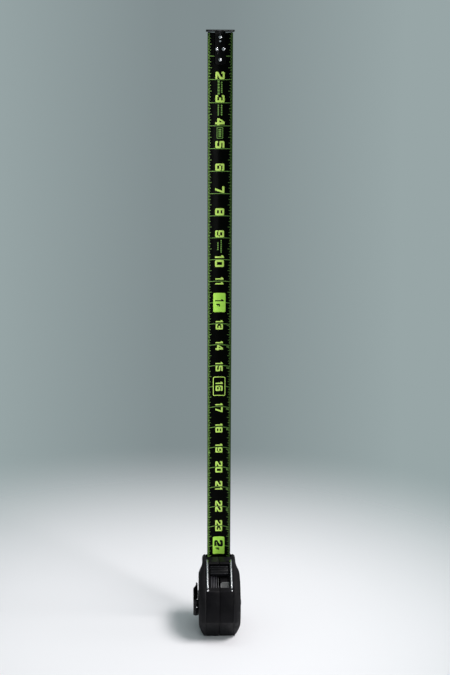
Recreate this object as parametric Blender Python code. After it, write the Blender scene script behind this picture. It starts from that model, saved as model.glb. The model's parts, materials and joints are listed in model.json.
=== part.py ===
"""Tape measure that stands on its rear end, with the blade drawn straight up and locked.

Lengths in this file are millimetres in the case frame, and make_object turns them into metres.
In the case frame x = 0 is the seam between the case halves, +Z runs out of the mouth along the
blade, -Y is the crown with the thumb lock and +Y is the base. z = 0 is the flat rear end.
"""

import math

import bmesh
import bpy
from mathutils import Vector

MM = 0.001
GAP = 0.3  # clearance between neighbouring pieces

# Case outline in the YZ plane
CASE_LENGTH = 84.0
BASE_Y = 38.0
FLANK_CENTRE = (0.0, 39.0)
CROWN_RADIUS = 39.0
CROWN_TOP_ANGLE = 40.0
CROWN_LOW_ANGLE = -17.0
REAR_CORNER_RADIUS = 5.0
REAR_FRONT_Y = -17.0
LIP_BACK_Y = 24.0
LIP_FRONT_Y = 9.5
SLOPE_TOP = (8.0, 83.5)
OUTLINE_STEP = 8.0  # largest angle between outline points, in degrees, seen from the flank centre

# Case half across the width
HALF_SEAM = 0.15
SEAM_CHAMFER = 0.6
BAND_HALF_WIDTH = 16.0
BAND_CHAMFER = 0.4
STEP_DEPTH = 1.5
WALL = 2.8
CAVITY_HALF_WIDTH = 16.8
CASE_HALF_WIDTH = 18.6

# Rubber grips
GRIP_LIP = STEP_DEPTH - GAP
FLANK_HALF_WIDTH = 25.0
FLANK_FLAT_RADIUS = 31.0
NOSE_HALF_WIDTH = 20.4
NOSE_BLEND_RADIUS = 45.0
GRIP_EDGE_HALF_WIDTH = 16.9
NOSE_EDGE_ROUND = 4.5
BADGE_RADIUS = 23.6
BADGE_DEPTH = 1.0

# Spool, spring and coil
SPOOL_CENTRE = (3.0, 34.0)
COIL_RADIUS = 28.0
COIL_PITCH = 1.45
COIL_TURNS = 7.5
COIL_THICKNESS = 0.7
DRUM_RADIUS = 16.3
DRUM_WALL = 1.7
DRUM_FLOOR = 1.6
DRUM_HALF_WIDTH = 15.8
POST_RADIUS = 4.0
SPRING_RADIUS = 14.0
SPRING_PITCH = 1.5
SPRING_TURNS = 5.5
SPRING_THICKNESS = 0.6
SPRING_HALF_WIDTH = 12.5

# Blade
BLADE_WIDTH = 32.0
BLADE_THICKNESS = 0.3
CUP_RADIUS = 18.4
BLADE_Y_FLAT = SPOOL_CENTRE[0] + COIL_RADIUS
BLADE_Y_CUPPED = 31.85
BLADE_TOP = 706.0
BLADE_FOOT = SPOOL_CENTRE[1] + GAP
CUP_START = 36.0
CUP_END = 62.0
BLADE_SPANS = 12
BLADE_CORNER = 1.0
MOUTH_HALF_WIDTH = 15.6
MOUTH_FRONT = 24.4
MOUTH_BACK = 34.4

# End hook and rivets
FLANGE_RISE = 1.1
FLANGE_THICKNESS = 1.3
FLANGE_HALF_WIDTH = 15.95
FLANGE_FRONT = 22.5
FLANGE_CORNER = 2.5
ARM_HALF_WIDTH = 6.3
ARM_THICKNESS = 1.0
ARM_LENGTH = 34.5
HOOK_TRAVEL = 1.6
RIVET_PLACES = ((0.0, 4.8), (-4.1, 17.8), (4.1, 17.8), (0.0, 29.3))
RIVET_HEAD = 2.0
RIVET_SHANK = 1.2
NAIL_HOLE_DROP = 9.3
NAIL_HOLE_RADIUS = 1.0

# Thumb lock, in slope coordinates: t runs from the lip towards the crown, n stands out of the slope
TRACK_START = 2.0
TRACK_END = 36.8
TRACK_HALF_WIDTH = 12.3
TRACK_DEPTH = 3.5
TRAY_FLOOR = 5.6
TRAY_HALF_WIDTH = 14.9
LEVER_HALF_WIDTH = 10.7
STEM_HALF_WIDTH = 3.0
STEM_START = 8.0
STEM_END = 14.0
LEVER_PROFILE = (
    (3.0, -3.2), (3.0, -1.7), (5.8, -1.4), (6.6, 1.4), (7.1, 2.4), (7.9, 2.4), (8.4, 1.2), (9.2, 1.2),
    (9.7, 2.4), (10.5, 2.4), (11.2, 1.3), (14.0, 0.9), (16.6, 1.5), (17.6, 0.8), (17.6, -3.2),
)
STEM_LOW = -6.2
BRAKE_TOP = -6.5
BRAKE_THICKNESS = 2.2
BRAKE_HALF_WIDTH = 5.0
BRAKE_FOOT = ((22.0, 75.9), (22.0, 78.2))
PAD_INNER = 8.0
PAD_OUTER = 13.0
PAD_BAR = (22.3, 24.3)
PAD_HEIGHTS = (73.0, 79.0)

# Guard rods beside the lock
ROD_X = 14.3
ROD_RADIUS = 1.2
ROD_RISE = 1.55
ROD_TOP_Y = 11.5
ROD_END_T = 37.6
PIN_T = 41.6
PIN_RADIUS = 1.3

# Screws
SCREW_PLACES = ((31.0, 7.0), (-17.0, 9.0), (21.0, 62.0), (-27.0, 58.0))
BOSS_RADIUS = 3.2
SCREW_SHANK = 1.2
SCREW_HEAD = 2.6
SCREW_LENGTH = 27.0

# Insert behind the blade in the mouth
GUIDE_HALF_WIDTH = 15.2
GUIDE_GROOVE_HALF_WIDTH = 7.0
GUIDE_GROOVE_WALL = 1.1

# Belt clip, its outline in the XY plane along the middle of the strip
CLIP_LOW = 30.0
CLIP_HIGH = 50.0
CLIP_THICKNESS = 1.0
CLIP_INNER_X = -(FLANK_HALF_WIDTH + GAP + CLIP_THICKNESS / 2)
CLIP_OUTER_X = -31.0
CLIP_BEND_Y = -19.5
CLIP_SCREW = (-9.0, 40.0)

# The flanks slant in towards the rear end
REAR_TAPER_TOP = 16.0
REAR_HALF_WIDTH = 19.4
REAR_TAPER_BLEND = 1.2

# The origin is the middle of the footprint's box
SEAM_X = 2.2
SEAM_Y = 0.5

SIDES = {"right": 1.0, "left": -1.0}


# ---------------------------------------------------------------- outlines


def on_arc(centre, radius, degrees):
    angle = math.radians(degrees)
    return (centre[0] + radius * math.cos(angle), centre[1] + radius * math.sin(angle))


def arc(centre, radius, start, end, count):
    return [on_arc(centre, radius, start + (end - start) * i / (count - 1)) for i in range(count)]


def slope_direction():
    """Unit vectors of the nose slope: along it towards the crown, and out of it."""
    low = on_arc(FLANK_CENTRE, CROWN_RADIUS, 180.0 - CROWN_TOP_ANGLE)
    along = Vector((low[0] - SLOPE_TOP[0], low[1] - SLOPE_TOP[1])).normalized()
    return along, Vector((along.y, -along.x))


def on_slope(t, n):
    along, out = slope_direction()
    point = Vector(SLOPE_TOP) + t * along + n * out
    return (point.x, point.y)


def spread(points, step):
    """Adds points on straight stretches, so that none are further apart than step, seen from the centre."""
    dense = []
    for start, end in zip(points, points[1:] + points[:1]):
        first = math.atan2(start[1] - FLANK_CENTRE[1], start[0] - FLANK_CENTRE[0])
        last = math.atan2(end[1] - FLANK_CENTRE[1], end[0] - FLANK_CENTRE[0])
        turn = abs(math.remainder(last - first, 2 * math.pi))
        count = max(1, math.ceil(math.degrees(turn) / step))
        for i in range(count):
            share = i / count
            dense.append((start[0] + (end[0] - start[0]) * share, start[1] + (end[1] - start[1]) * share))
    return dense


def case_outline():
    corner = (BASE_Y - REAR_CORNER_RADIUS, REAR_CORNER_RADIUS)
    crown = arc(FLANK_CENTRE, CROWN_RADIUS, 180.0 - CROWN_TOP_ANGLE, 180.0 - CROWN_LOW_ANGLE, 9)
    nose = [
        (BASE_Y, CASE_LENGTH - 5.0),
        (BASE_Y - 1.6, CASE_LENGTH - 2.3),
        (BASE_Y - 4.0, CASE_LENGTH - 1.3),
        (LIP_BACK_Y, CASE_LENGTH),
        (LIP_FRONT_Y, CASE_LENGTH),
        (SLOPE_TOP[0] - 0.4, SLOPE_TOP[1] - 0.2),
    ]
    points = arc(corner, REAR_CORNER_RADIUS, -90.0, 0.0, 5) + nose + crown + [(REAR_FRONT_Y, 0.0)]
    return spread(points, OUTLINE_STEP)


def inset(points, distance):
    """The outline moved inwards by distance, point by point."""
    moved = []
    count = len(points)
    for i in range(count):
        here = Vector(points[i])
        before = (here - Vector(points[i - 1])).normalized()
        after = (Vector(points[(i + 1) % count]) - here).normalized()
        inward_before = Vector((-before.y, before.x))
        inward_after = Vector((-after.y, after.x))
        mitre = (inward_before + inward_after) / (1.0 + inward_before.dot(inward_after))
        moved.append(tuple(here + distance * mitre))
    return moved


# ---------------------------------------------------------------- bodies


def loft(rings, closed=False):
    """A closed body through rings that have the same number of points."""
    body = bmesh.new()
    rows = [[body.verts.new(point) for point in ring] for ring in rings]
    pairs = list(zip(rows, rows[1:]))
    if closed:
        pairs.append((rows[-1], rows[0]))
    else:
        body.faces.new(rows[0])
        body.faces.new(rows[-1])
    for row, following in pairs:
        for i in range(len(row)):
            j = (i + 1) % len(row)
            body.faces.new((row[i], row[j], following[j], following[i]))
    bmesh.ops.recalc_face_normals(body, faces=body.faces)
    return body


def ring_at(x, outline):
    return [(x, y, z) for y, z in outline]


def prism(outline, x_start, x_end):
    return loft([ring_at(x_start, outline), ring_at(x_end, outline)])


def block(low, high):
    outline = [(low[1], low[2]), (high[1], low[2]), (high[1], high[2]), (low[1], high[2])]
    return prism(outline, low[0], high[0])


def slope_block(half_width, t_start, t_end, n_low, n_high):
    corners = ((t_start, n_low), (t_end, n_low), (t_end, n_high), (t_start, n_high))
    outline = [on_slope(t, n) for t, n in corners]
    return prism(outline, -half_width, half_width)


def turned(profile, at, axis, sides=20, closed=False):
    """A body of revolution: profile holds (radius, distance along the axis from at)."""
    axis = Vector(axis).normalized()
    start = axis.orthogonal().normalized()
    other = axis.cross(start)
    rings = []
    for radius, along in profile:
        centre = Vector(at) + axis * along
        ring = []
        for i in range(sides):
            angle = 2 * math.pi * (i + 0.5) / sides
            ring.append(centre + radius * (math.cos(angle) * start + math.sin(angle) * other))
        rings.append(ring)
    return loft(rings, closed)


def cylinder(radius, start, end, sides=16):
    start = Vector(start)
    axis = Vector(end) - start
    return turned([(radius, 0.0), (radius, axis.length)], start, axis, sides)


def strip(path, thickness, place):
    """A flat strip that follows a path of 2-D points; place turns a 2-D point and a side into 3-D."""
    rings = []
    count = len(path)
    for i in range(count):
        before = Vector(path[max(i - 1, 0)])
        after = Vector(path[min(i + 1, count - 1)])
        along = (after - before).normalized()
        out = Vector((-along.y, along.x)) * (thickness / 2)
        here = Vector(path[i])
        near, far = here + out, here - out
        rings.append([place(near, -1), place(near, 1), place(far, 1), place(far, -1)])
    return loft(rings)


def tube(path, radius, x, sides=12):
    """A round rod in the plane at x, through a path of (y, z) points."""
    rings = []
    count = len(path)
    for i in range(count):
        before = Vector(path[max(i - 1, 0)])
        after = Vector(path[min(i + 1, count - 1)])
        along = (after - before).normalized()
        across = Vector((0.0, -along.y, along.x))
        centre = Vector((x, path[i][0], path[i][1]))
        sideways = Vector((1.0, 0.0, 0.0))
        ring = []
        for k in range(sides):
            angle = 2 * math.pi * k / sides
            ring.append(centre + radius * (math.cos(angle) * sideways + math.sin(angle) * across))
        rings.append(ring)
    return loft(rings)


# ---------------------------------------------------------------- objects


def clear_scene():
    for obj in list(bpy.data.objects):
        bpy.data.objects.remove(obj, do_unlink=True)


def material(name, colour, roughness, metallic=0.0):
    made = bpy.data.materials.new(name)
    made.use_nodes = True
    made.diffuse_color = (*colour, 1.0)
    shader = made.node_tree.nodes["Principled BSDF"]
    shader.inputs["Base Color"].default_value = (*colour, 1.0)
    shader.inputs["Roughness"].default_value = roughness
    shader.inputs["Metallic"].default_value = metallic
    return made


def frame_empty(name, at, parent=None):
    """An empty at a point of the case frame, which pieces are parented to."""
    empty = bpy.data.objects.new(name, None)
    bpy.context.collection.objects.link(empty)
    empty["at_mm"] = at
    origin = Vector(parent["at_mm"]) if parent else Vector((-SEAM_X, -SEAM_Y, 0.0))
    empty.location = (Vector(at) - origin) * MM
    empty.parent = parent
    return empty


def make_object(name, body, frame, finish):
    origin = Vector(frame["at_mm"])
    for vert in body.verts:
        vert.co = (vert.co - origin) * MM
    mesh = bpy.data.meshes.new(name)
    body.to_mesh(mesh)
    body.free()
    mesh.shade_smooth()
    mesh.set_sharp_from_angle(angle=math.radians(30.0))
    obj = bpy.data.objects.new(name, mesh)
    bpy.context.collection.objects.link(obj)
    obj.parent = frame
    if finish:
        mesh.materials.append(finish)
    return obj


def combine(obj, operation, bodies, frame):
    """Adds bodies to an object, or cuts them from it, one Boolean modifier for each."""
    for body in bodies:
        tool = make_object(f"{obj.name}_tool_{len(obj.modifiers) + 1}", body, frame, None)
        tool.hide_render = True
        tool.display_type = "WIRE"
        modifier = obj.modifiers.new(f"{operation.lower()}_{len(obj.modifiers) + 1}", "BOOLEAN")
        modifier.operation = operation
        modifier.solver = "EXACT"
        modifier.object = tool


# ---------------------------------------------------------------- case and grips


def case_half(side, frame, finish):
    """One moulded half: an open shell with a step on its outer edge that the rubber grip wraps."""
    s = SIDES[side]
    outline = case_outline()
    rings = [
        ring_at(s * CASE_HALF_WIDTH, inset(outline, STEP_DEPTH + BAND_CHAMFER)),
        ring_at(s * (CASE_HALF_WIDTH - BAND_CHAMFER), inset(outline, STEP_DEPTH)),
        ring_at(s * BAND_HALF_WIDTH, inset(outline, STEP_DEPTH)),
        ring_at(s * BAND_HALF_WIDTH, inset(outline, BAND_CHAMFER)),
        ring_at(s * (BAND_HALF_WIDTH - BAND_CHAMFER), outline),
        ring_at(s * (HALF_SEAM + SEAM_CHAMFER), outline),
        ring_at(s * HALF_SEAM, inset(outline, SEAM_CHAMFER)),
        ring_at(s * HALF_SEAM, inset(outline, WALL)),
        ring_at(s * CAVITY_HALF_WIDTH, inset(outline, WALL)),
    ]
    half = make_object(f"case_{side}", loft(rings), frame, finish)
    inner = 2 * HALF_SEAM + 0.05
    tray_corners = ((1.0, -TRAY_FLOOR), (40.0, -TRAY_FLOOR), (40.0, -STEP_DEPTH), (1.0, -STEP_DEPTH))
    added = [prism([on_slope(t, n) for t, n in tray_corners], s * inner, s * TRAY_HALF_WIDTH)]
    for y, z in SCREW_PLACES:
        added.append(cylinder(BOSS_RADIUS, (s * inner, y, z), (s * (CAVITY_HALF_WIDTH + 0.9), y, z)))
    combine(half, "UNION", added, frame)
    combine(half, "DIFFERENCE", case_cutters(side), frame)
    return half


def case_cutters(side):
    s = SIDES[side]
    outside = CASE_HALF_WIDTH + 3.0
    rod_low = on_slope(ROD_END_T, -8.0)
    rod_high = on_slope(ROD_END_T, 4.0)
    pin_low = on_slope(PIN_T, -3.2)
    pin_high = on_slope(PIN_T, 4.0)
    x = s * ROD_X
    mouth_low = (-MOUTH_HALF_WIDTH, MOUTH_FRONT, CASE_LENGTH - 8.0)
    mouth_high = (MOUTH_HALF_WIDTH, MOUTH_BACK, CASE_LENGTH + 5.0)
    slot_end = TRACK_END - 5.0
    slot_low = -TRAY_FLOOR - 3.0
    slot_high = -TRACK_DEPTH + 1.0
    rod_foot = (x, ROD_TOP_Y, CASE_LENGTH - 6.0)
    rod_head = (x, ROD_TOP_Y, CASE_LENGTH + 3.0)
    cutters = [
        block(mouth_low, mouth_high),
        slope_block(TRACK_HALF_WIDTH, TRACK_START, TRACK_END, -TRACK_DEPTH, 6.0),
        slope_block(STEM_HALF_WIDTH + 0.6, STEM_START - 1.5, slot_end, slot_low, slot_high),
        cylinder(ROD_RADIUS + GAP, rod_foot, rod_head, 12),
        cylinder(ROD_RADIUS + GAP, (x, *rod_low), (x, *rod_high), 12),
        cylinder(PIN_RADIUS - 0.1, (x, *pin_low), (x, *pin_high), 12),
    ]
    hole_end = outside if side == "right" else 9.0
    for y, z in SCREW_PLACES:
        cutters.append(cylinder(SCREW_SHANK + GAP, (-s, y, z), (s * hole_end, y, z), 12))
    if side == "right":
        start, end = (CAVITY_HALF_WIDTH - 1.0, *SPOOL_CENTRE), (outside, *SPOOL_CENTRE)
    else:
        start, end = (1.0 - CAVITY_HALF_WIDTH, *CLIP_SCREW), (-outside, *CLIP_SCREW)
    cutters.append(cylinder(SCREW_SHANK + 2 * GAP, start, end, 12))
    return cutters


def smooth_share(value):
    share = min(max(value, 0.0), 1.0)
    return share * share * (3.0 - 2.0 * share)


def nose_rounding(radius, edge):
    """Half width near the outline's edge beside the nose, where the grip is rounded off."""
    inward = min((edge - radius) / NOSE_EDGE_ROUND, 1.0)
    rise = NOSE_HALF_WIDTH - GRIP_EDGE_HALF_WIDTH
    return GRIP_EDGE_HALF_WIDTH + rise * math.sqrt(max(1.0 - (1.0 - inward) ** 2, 0.0))


def grip_half_width(radius, edge):
    """Half width at a radius from the flank's centre, on a ray that meets the outline at edge."""
    across = min(max((radius - FLANK_FLAT_RADIUS) / (edge - FLANK_FLAT_RADIUS), 0.0), 1.0)
    rise = FLANK_HALF_WIDTH - GRIP_EDGE_HALF_WIDTH
    crown = GRIP_EDGE_HALF_WIDTH + rise * math.sqrt(max(1.0 - across * across, 0.0))
    taper = smooth_share((radius - FLANK_FLAT_RADIUS) / (NOSE_BLEND_RADIUS - FLANK_FLAT_RADIUS))
    nose = FLANK_HALF_WIDTH - (FLANK_HALF_WIDTH - NOSE_HALF_WIDTH) * taper
    if radius > edge - NOSE_EDGE_ROUND:
        nose = min(nose, nose_rounding(radius, edge))
    share = smooth_share((edge - CROWN_RADIUS - 0.5) / 4.0)
    return crown + (nose - crown) * share


def rear_limit(half_width, z):
    """Keeps a half width within the slant towards the rear end, with a soft crease where it starts."""
    slant = REAR_HALF_WIDTH + (FLANK_HALF_WIDTH - REAR_HALF_WIDTH) * z / REAR_TAPER_TOP
    mix = min(max(0.5 + (slant - half_width) / (2 * REAR_TAPER_BLEND), 0.0), 1.0)
    return slant + (half_width - slant) * mix - REAR_TAPER_BLEND * mix * (1.0 - mix)


def grip_ring(side, outline, share):
    """A ring of the grip's outer skin, from share 0 at the outline to 1 at the flat of the flank."""
    ring = []
    for y, z in outline:
        ray = Vector((y - FLANK_CENTRE[0], z - FLANK_CENTRE[1]))
        edge = ray.length
        radius = edge + (FLANK_FLAT_RADIUS - edge) * share
        point = Vector(FLANK_CENTRE) + ray.normalized() * radius
        ring.append((side * rear_limit(grip_half_width(radius, edge), point.y), point.x, point.y))
    return ring


def flank_circle(side, x, radius, outline):
    ring = []
    for y, z in outline:
        ray = Vector((y - FLANK_CENTRE[0], z - FLANK_CENTRE[1])).normalized() * radius
        ring.append((side * x, FLANK_CENTRE[0] + ray.x, FLANK_CENTRE[1] + ray.y))
    return ring


def flank_ring(side, radius, outline):
    circle = flank_circle(side, FLANK_HALF_WIDTH, radius, outline)
    return [(side * rear_limit(FLANK_HALF_WIDTH, z), y, z) for _, y, z in circle]


def grip(side, frame, finish):
    """Rubber overmould: a domed skin with a lip that wraps the edge of the case half."""
    s = SIDES[side]
    outline = case_outline()
    rings = [
        ring_at(s * (CASE_HALF_WIDTH + GAP), inset(outline, GRIP_LIP)),
        ring_at(s * (BAND_HALF_WIDTH + GAP), inset(outline, GRIP_LIP)),
        ring_at(s * (BAND_HALF_WIDTH + GAP), inset(outline, GAP)),
    ]
    rings += [grip_ring(s, outline, share) for share in (0.0, 0.06, 0.2, 0.42, 0.7, 1.0)]
    rings += [flank_ring(s, FLANK_FLAT_RADIUS - step, outline) for step in (3.0, 6.0)]
    rings.append(flank_circle(s, FLANK_HALF_WIDTH, BADGE_RADIUS + GAP, outline))
    if side == "right":
        rings.append(flank_circle(s, FLANK_HALF_WIDTH - BADGE_DEPTH, BADGE_RADIUS + GAP, outline))
    rubber = make_object(f"grip_{side}", loft(rings), frame, finish)
    low = s * (CASE_HALF_WIDTH - 1.0)
    high = s * (FLANK_HALF_WIDTH + 2.0)
    if side == "right":
        cutters = [cylinder(SCREW_HEAD + 0.5, (low, y, z), (high, y, z)) for y, z in SCREW_PLACES]
        cutters.append(cylinder(SCREW_SHANK + 2 * GAP, (low, *SPOOL_CENTRE), (high, *SPOOL_CENTRE), 12))
    else:
        cutters = [cylinder(SCREW_SHANK + 2 * GAP, (low, *CLIP_SCREW), (high, *CLIP_SCREW), 12)]
    combine(rubber, "DIFFERENCE", cutters, frame)
    return rubber


def side_badge(frame, finish):
    """Blank round badge let into the right grip, with a hole round the post screw."""
    low = FLANK_HALF_WIDTH - BADGE_DEPTH + GAP
    disc = turned(
        [(BADGE_RADIUS, 0.0), (BADGE_RADIUS, 0.4), (BADGE_RADIUS - 0.4, 0.7)],
        (low, *FLANK_CENTRE), (1.0, 0.0, 0.0), 48,
    )
    badge = make_object("side_badge", disc, frame, finish)
    hole = cylinder(SCREW_SHANK + 2 * GAP, (low - 2.0, *SPOOL_CENTRE), (low + 4.0, *SPOOL_CENTRE), 12)
    combine(badge, "DIFFERENCE", [hole], frame)
    return badge


# ---------------------------------------------------------------- fasteners and rods


def case_screws(frame, finish):
    for number, (y, z) in enumerate(SCREW_PLACES, 1):
        seat = CASE_HALF_WIDTH + GAP
        shank = [(SCREW_SHANK, -SCREW_LENGTH), (SCREW_SHANK, 0.0)]
        head = [(SCREW_HEAD, 0.0), (SCREW_HEAD, 0.9), (SCREW_HEAD - 0.7, 1.5)]
        body = turned(shank + head, (seat, y, z), (1.0, 0.0, 0.0), 12)
        make_object(f"case_screw_{number}", body, frame, finish)


def post_screw(frame, finish):
    seat = FLANK_HALF_WIDTH + GAP
    profile = [(1.2, -17.0), (1.2, 0.0), (4.5, 0.0), (4.5, 0.8), (3.6, 1.5), (2.0, 1.8)]
    body = turned(profile, (seat, *SPOOL_CENTRE), (1.0, 0.0, 0.0), 20)
    return make_object("post_screw", body, frame, finish)


def centre_post(frame, finish):
    """Fixed post, bored at its right end for the post screw."""
    half = CAVITY_HALF_WIDTH - GAP
    profile = [(POST_RADIUS, -half), (POST_RADIUS, half), (1.6, half), (1.6, 7.0)]
    body = turned(profile, (0.0, *SPOOL_CENTRE), (1.0, 0.0, 0.0), 20)
    return make_object("centre_post", body, frame, finish)


def guard_rod(side, frame, finish):
    """Bent steel rod: one leg in the lip, along the nose slope, and one leg in the crown."""
    x = SIDES[side] * ROD_X
    lip_height = CASE_LENGTH + ROD_RISE
    upper_bend = arc((ROD_TOP_Y - 1.5, lip_height - 1.5), 1.5, 0.0, 90.0, 5)
    slope_start = on_slope(0.8, ROD_RISE)
    slope_angle = math.degrees(math.atan2(*reversed(slope_direction()[1])))
    lower_centre = Vector(on_slope(ROD_END_T - 1.5, ROD_RISE - 1.5))
    lower_bend = arc(tuple(lower_centre), 1.5, slope_angle, slope_angle + 90.0, 5)
    path = [(ROD_TOP_Y, CASE_LENGTH - 4.0)] + upper_bend + [(LIP_FRONT_Y - 0.6, lip_height - 0.1)]
    path += [slope_start, on_slope(12.0, ROD_RISE), on_slope(24.0, ROD_RISE)] + lower_bend
    path.append(on_slope(ROD_END_T, -4.0))
    return make_object(f"guard_rod_{side}", tube(path, ROD_RADIUS, x), frame, finish)


def rod_pin(side, frame, finish):
    x = SIDES[side] * ROD_X
    head = PIN_RADIUS
    profile = [(0.9, -2.6), (0.9, GAP), (head, GAP), (head, 0.6), (head * 0.85, 1.2), (head * 0.45, 1.6)]
    along = slope_direction()[1]
    seat = on_slope(PIN_T, 0.0)
    return make_object(f"rod_pin_{side}", turned(profile, (x, *seat), (0.0, *along), 12), frame, finish)


# ---------------------------------------------------------------- spool


def spiral(radius, pitch, turns, per_turn):
    """Points of a spiral about the spool centre, wound inwards from its outer end on the +Y side."""
    count = round(turns * per_turn)
    points = []
    for i in range(count + 1):
        angle = -360.0 * i / per_turn
        points.append(on_arc(SPOOL_CENTRE, radius - pitch * i / per_turn, angle))
    return points


def coil_body(radius, pitch, turns, thickness, half_width, per_turn):
    def place(point, side):
        return (side * half_width, point.x, point.y)

    return strip(spiral(radius, pitch, turns, per_turn), thickness, place)


def spool_parts(frame, drum_finish, steel_finish, tape_finish):
    axis = (1.0, 0.0, 0.0)
    centre = (0.0, *SPOOL_CENTRE)
    inner = DRUM_RADIUS - DRUM_WALL
    bore = POST_RADIUS + 0.4
    half = DRUM_HALF_WIDTH
    floor = DRUM_FLOOR - half
    cup = [(bore, -half), (DRUM_RADIUS, -half), (DRUM_RADIUS, half)]
    cup += [(inner, half), (inner, floor), (bore, floor)]
    make_object("spool", turned(cup, centre, axis, 28, True), frame, drum_finish)
    rim = inner - GAP
    lid = [(bore, half - DRUM_FLOOR), (rim, half - DRUM_FLOOR), (rim, half - 0.2), (bore, half - 0.2)]
    make_object("spool_cover", turned(lid, centre, axis, 28, True), frame, drum_finish)
    spring = coil_body(SPRING_RADIUS, SPRING_PITCH, SPRING_TURNS, SPRING_THICKNESS, SPRING_HALF_WIDTH, 20)
    make_object("power_spring", spring, frame, steel_finish)
    tape = coil_body(COIL_RADIUS, COIL_PITCH, COIL_TURNS, COIL_THICKNESS, BLADE_WIDTH / 2, 28)
    make_object("wound_tape", tape, frame, tape_finish)


# ---------------------------------------------------------------- blade and hook


def blade_point(across, height, offset):
    """A point of the blade: across is measured along its width, offset out of its convex face."""
    share = smooth_share((height - CUP_START) / (CUP_END - CUP_START))
    middle = BLADE_Y_FLAT + (BLADE_Y_CUPPED - BLADE_Y_FLAT) * share
    bend = max(share, 0.001) / CUP_RADIUS
    angle = across * bend
    x = math.sin(angle) / bend + offset * math.sin(angle)
    y = middle - (1.0 - math.cos(angle)) / bend + offset * math.cos(angle)
    return (x, y, height)


def cupped_strip(stations, width_of, heights, front, back):
    """A strip that follows the blade's cup, between two offsets from its middle."""
    rings = []
    for height in heights:
        scale = width_of(height)
        near = [blade_point(u * scale, height, front) for u in stations]
        far = [blade_point(u * scale, height, back) for u in reversed(stations)]
        rings.append(near + far)
    return loft(rings)


def rivet_axis(across):
    angle = across / CUP_RADIUS
    return Vector((-math.sin(angle), -math.cos(angle), 0.0))


def blade(frame, finish):
    stations = [BLADE_WIDTH * (i / BLADE_SPANS - 0.5) for i in range(BLADE_SPANS + 1)]
    rise = CUP_END - CUP_START
    heights = [BLADE_FOOT] + [CUP_START + rise * i / 5 for i in range(6)]
    heights += [BLADE_TOP - BLADE_CORNER, BLADE_TOP]
    half = BLADE_THICKNESS / 2

    def width_of(height):
        return 1.0 - 2 * BLADE_CORNER / BLADE_WIDTH if height > BLADE_TOP - BLADE_CORNER / 2 else 1.0

    tape = make_object("blade", cupped_strip(stations, width_of, heights, -half, half), frame, finish)
    holes = []
    for across, drop in RIVET_PLACES + ((0.0, NAIL_HOLE_DROP),):
        middle = Vector(blade_point(across, BLADE_TOP - drop, 0.0))
        reach = rivet_axis(across) * 2.0
        radius = NAIL_HOLE_RADIUS if drop == NAIL_HOLE_DROP else RIVET_SHANK + GAP
        holes.append(cylinder(radius, middle - reach, middle + reach, 12))
    combine(tape, "DIFFERENCE", holes, frame)
    return tape


def rivet_slot(across, drop):
    """Cutter for a slot in the hook's arm, which is longer than the rivet by the hook's travel."""
    axis = rivet_axis(across)
    middle = Vector(blade_point(across, BLADE_TOP - drop, 0.0))
    side = axis.cross(Vector((0.0, 0.0, 1.0)))
    radius = RIVET_SHANK + GAP
    rings = []
    for reach in (0.0, 3.5):
        ring = []
        for k in range(14):
            angle = 2 * math.pi * (k + 0.5) / 14
            drop_by = HOOK_TRAVEL if math.sin(angle) < 0 else 0.0
            up = Vector((0.0, 0.0, radius * math.sin(angle) - drop_by))
            ring.append(middle + axis * reach + side * (radius * math.cos(angle)) + up)
        rings.append(ring)
    return loft(rings)


def end_hook(frame, finish):
    """Flange over the end of the blade, and an arm that lies in the blade's hollow."""
    low = BLADE_TOP + FLANGE_RISE
    high = low + FLANGE_THICKNESS
    corners = []
    quarters = ((1, BASE_Y, 0.0), (-1, BASE_Y, 90.0), (-1, FLANGE_FRONT, 180.0), (1, FLANGE_FRONT, 270.0))
    for sx, y, start in quarters:
        inward = -FLANGE_CORNER if y == BASE_Y else FLANGE_CORNER
        centre = (sx * (FLANGE_HALF_WIDTH - FLANGE_CORNER), y + inward)
        corners += arc(centre, FLANGE_CORNER, start, start + 90.0, 5)
    plate = loft([[(x, y, low) for x, y in corners], [(x, y, high) for x, y in corners]])
    hook = make_object("end_hook", plate, frame, finish)
    span = BLADE_WIDTH / BLADE_SPANS
    stations = [-ARM_HALF_WIDTH, -2 * span, -span, 0.0, span, 2 * span, ARM_HALF_WIDTH]
    back = -(BLADE_THICKNESS / 2 + GAP)
    foot = BLADE_TOP - ARM_LENGTH

    def width_of(height):
        return 0.62 if height < foot + 0.5 else 1.0

    heights = [foot, foot + 2.4, high - 0.4]
    arm = cupped_strip(stations, width_of, heights, back - ARM_THICKNESS, back)
    combine(hook, "UNION", [arm], frame)
    nail_middle = Vector(blade_point(0.0, BLADE_TOP - NAIL_HOLE_DROP, 0.0))
    slots = [rivet_slot(across, drop) for across, drop in RIVET_PLACES]
    slots.append(cylinder(NAIL_HOLE_RADIUS, nail_middle, nail_middle + rivet_axis(0.0) * 3.5, 12))
    combine(hook, "DIFFERENCE", slots, frame)
    return hook


def hook_rivets(frame, finish):
    front = BLADE_THICKNESS / 2 + 2 * GAP + ARM_THICKNESS
    back = -(BLADE_THICKNESS / 2 + GAP)
    tail = [(1.8, back - 0.8), (1.9, back - 0.4), (1.9, back), (RIVET_SHANK, back)]
    head = [(RIVET_SHANK, front), (RIVET_HEAD, front), (RIVET_HEAD, front + 0.35)]
    head += [(RIVET_HEAD * 0.75, front + 0.75), (RIVET_HEAD * 0.4, front + 0.95)]
    for number, (across, drop) in enumerate(RIVET_PLACES, 1):
        middle = blade_point(across, BLADE_TOP - drop, 0.0)
        body = turned(tail + head, middle, rivet_axis(across), 14)
        make_object(f"hook_rivet_{number}", body, frame, finish)


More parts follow.
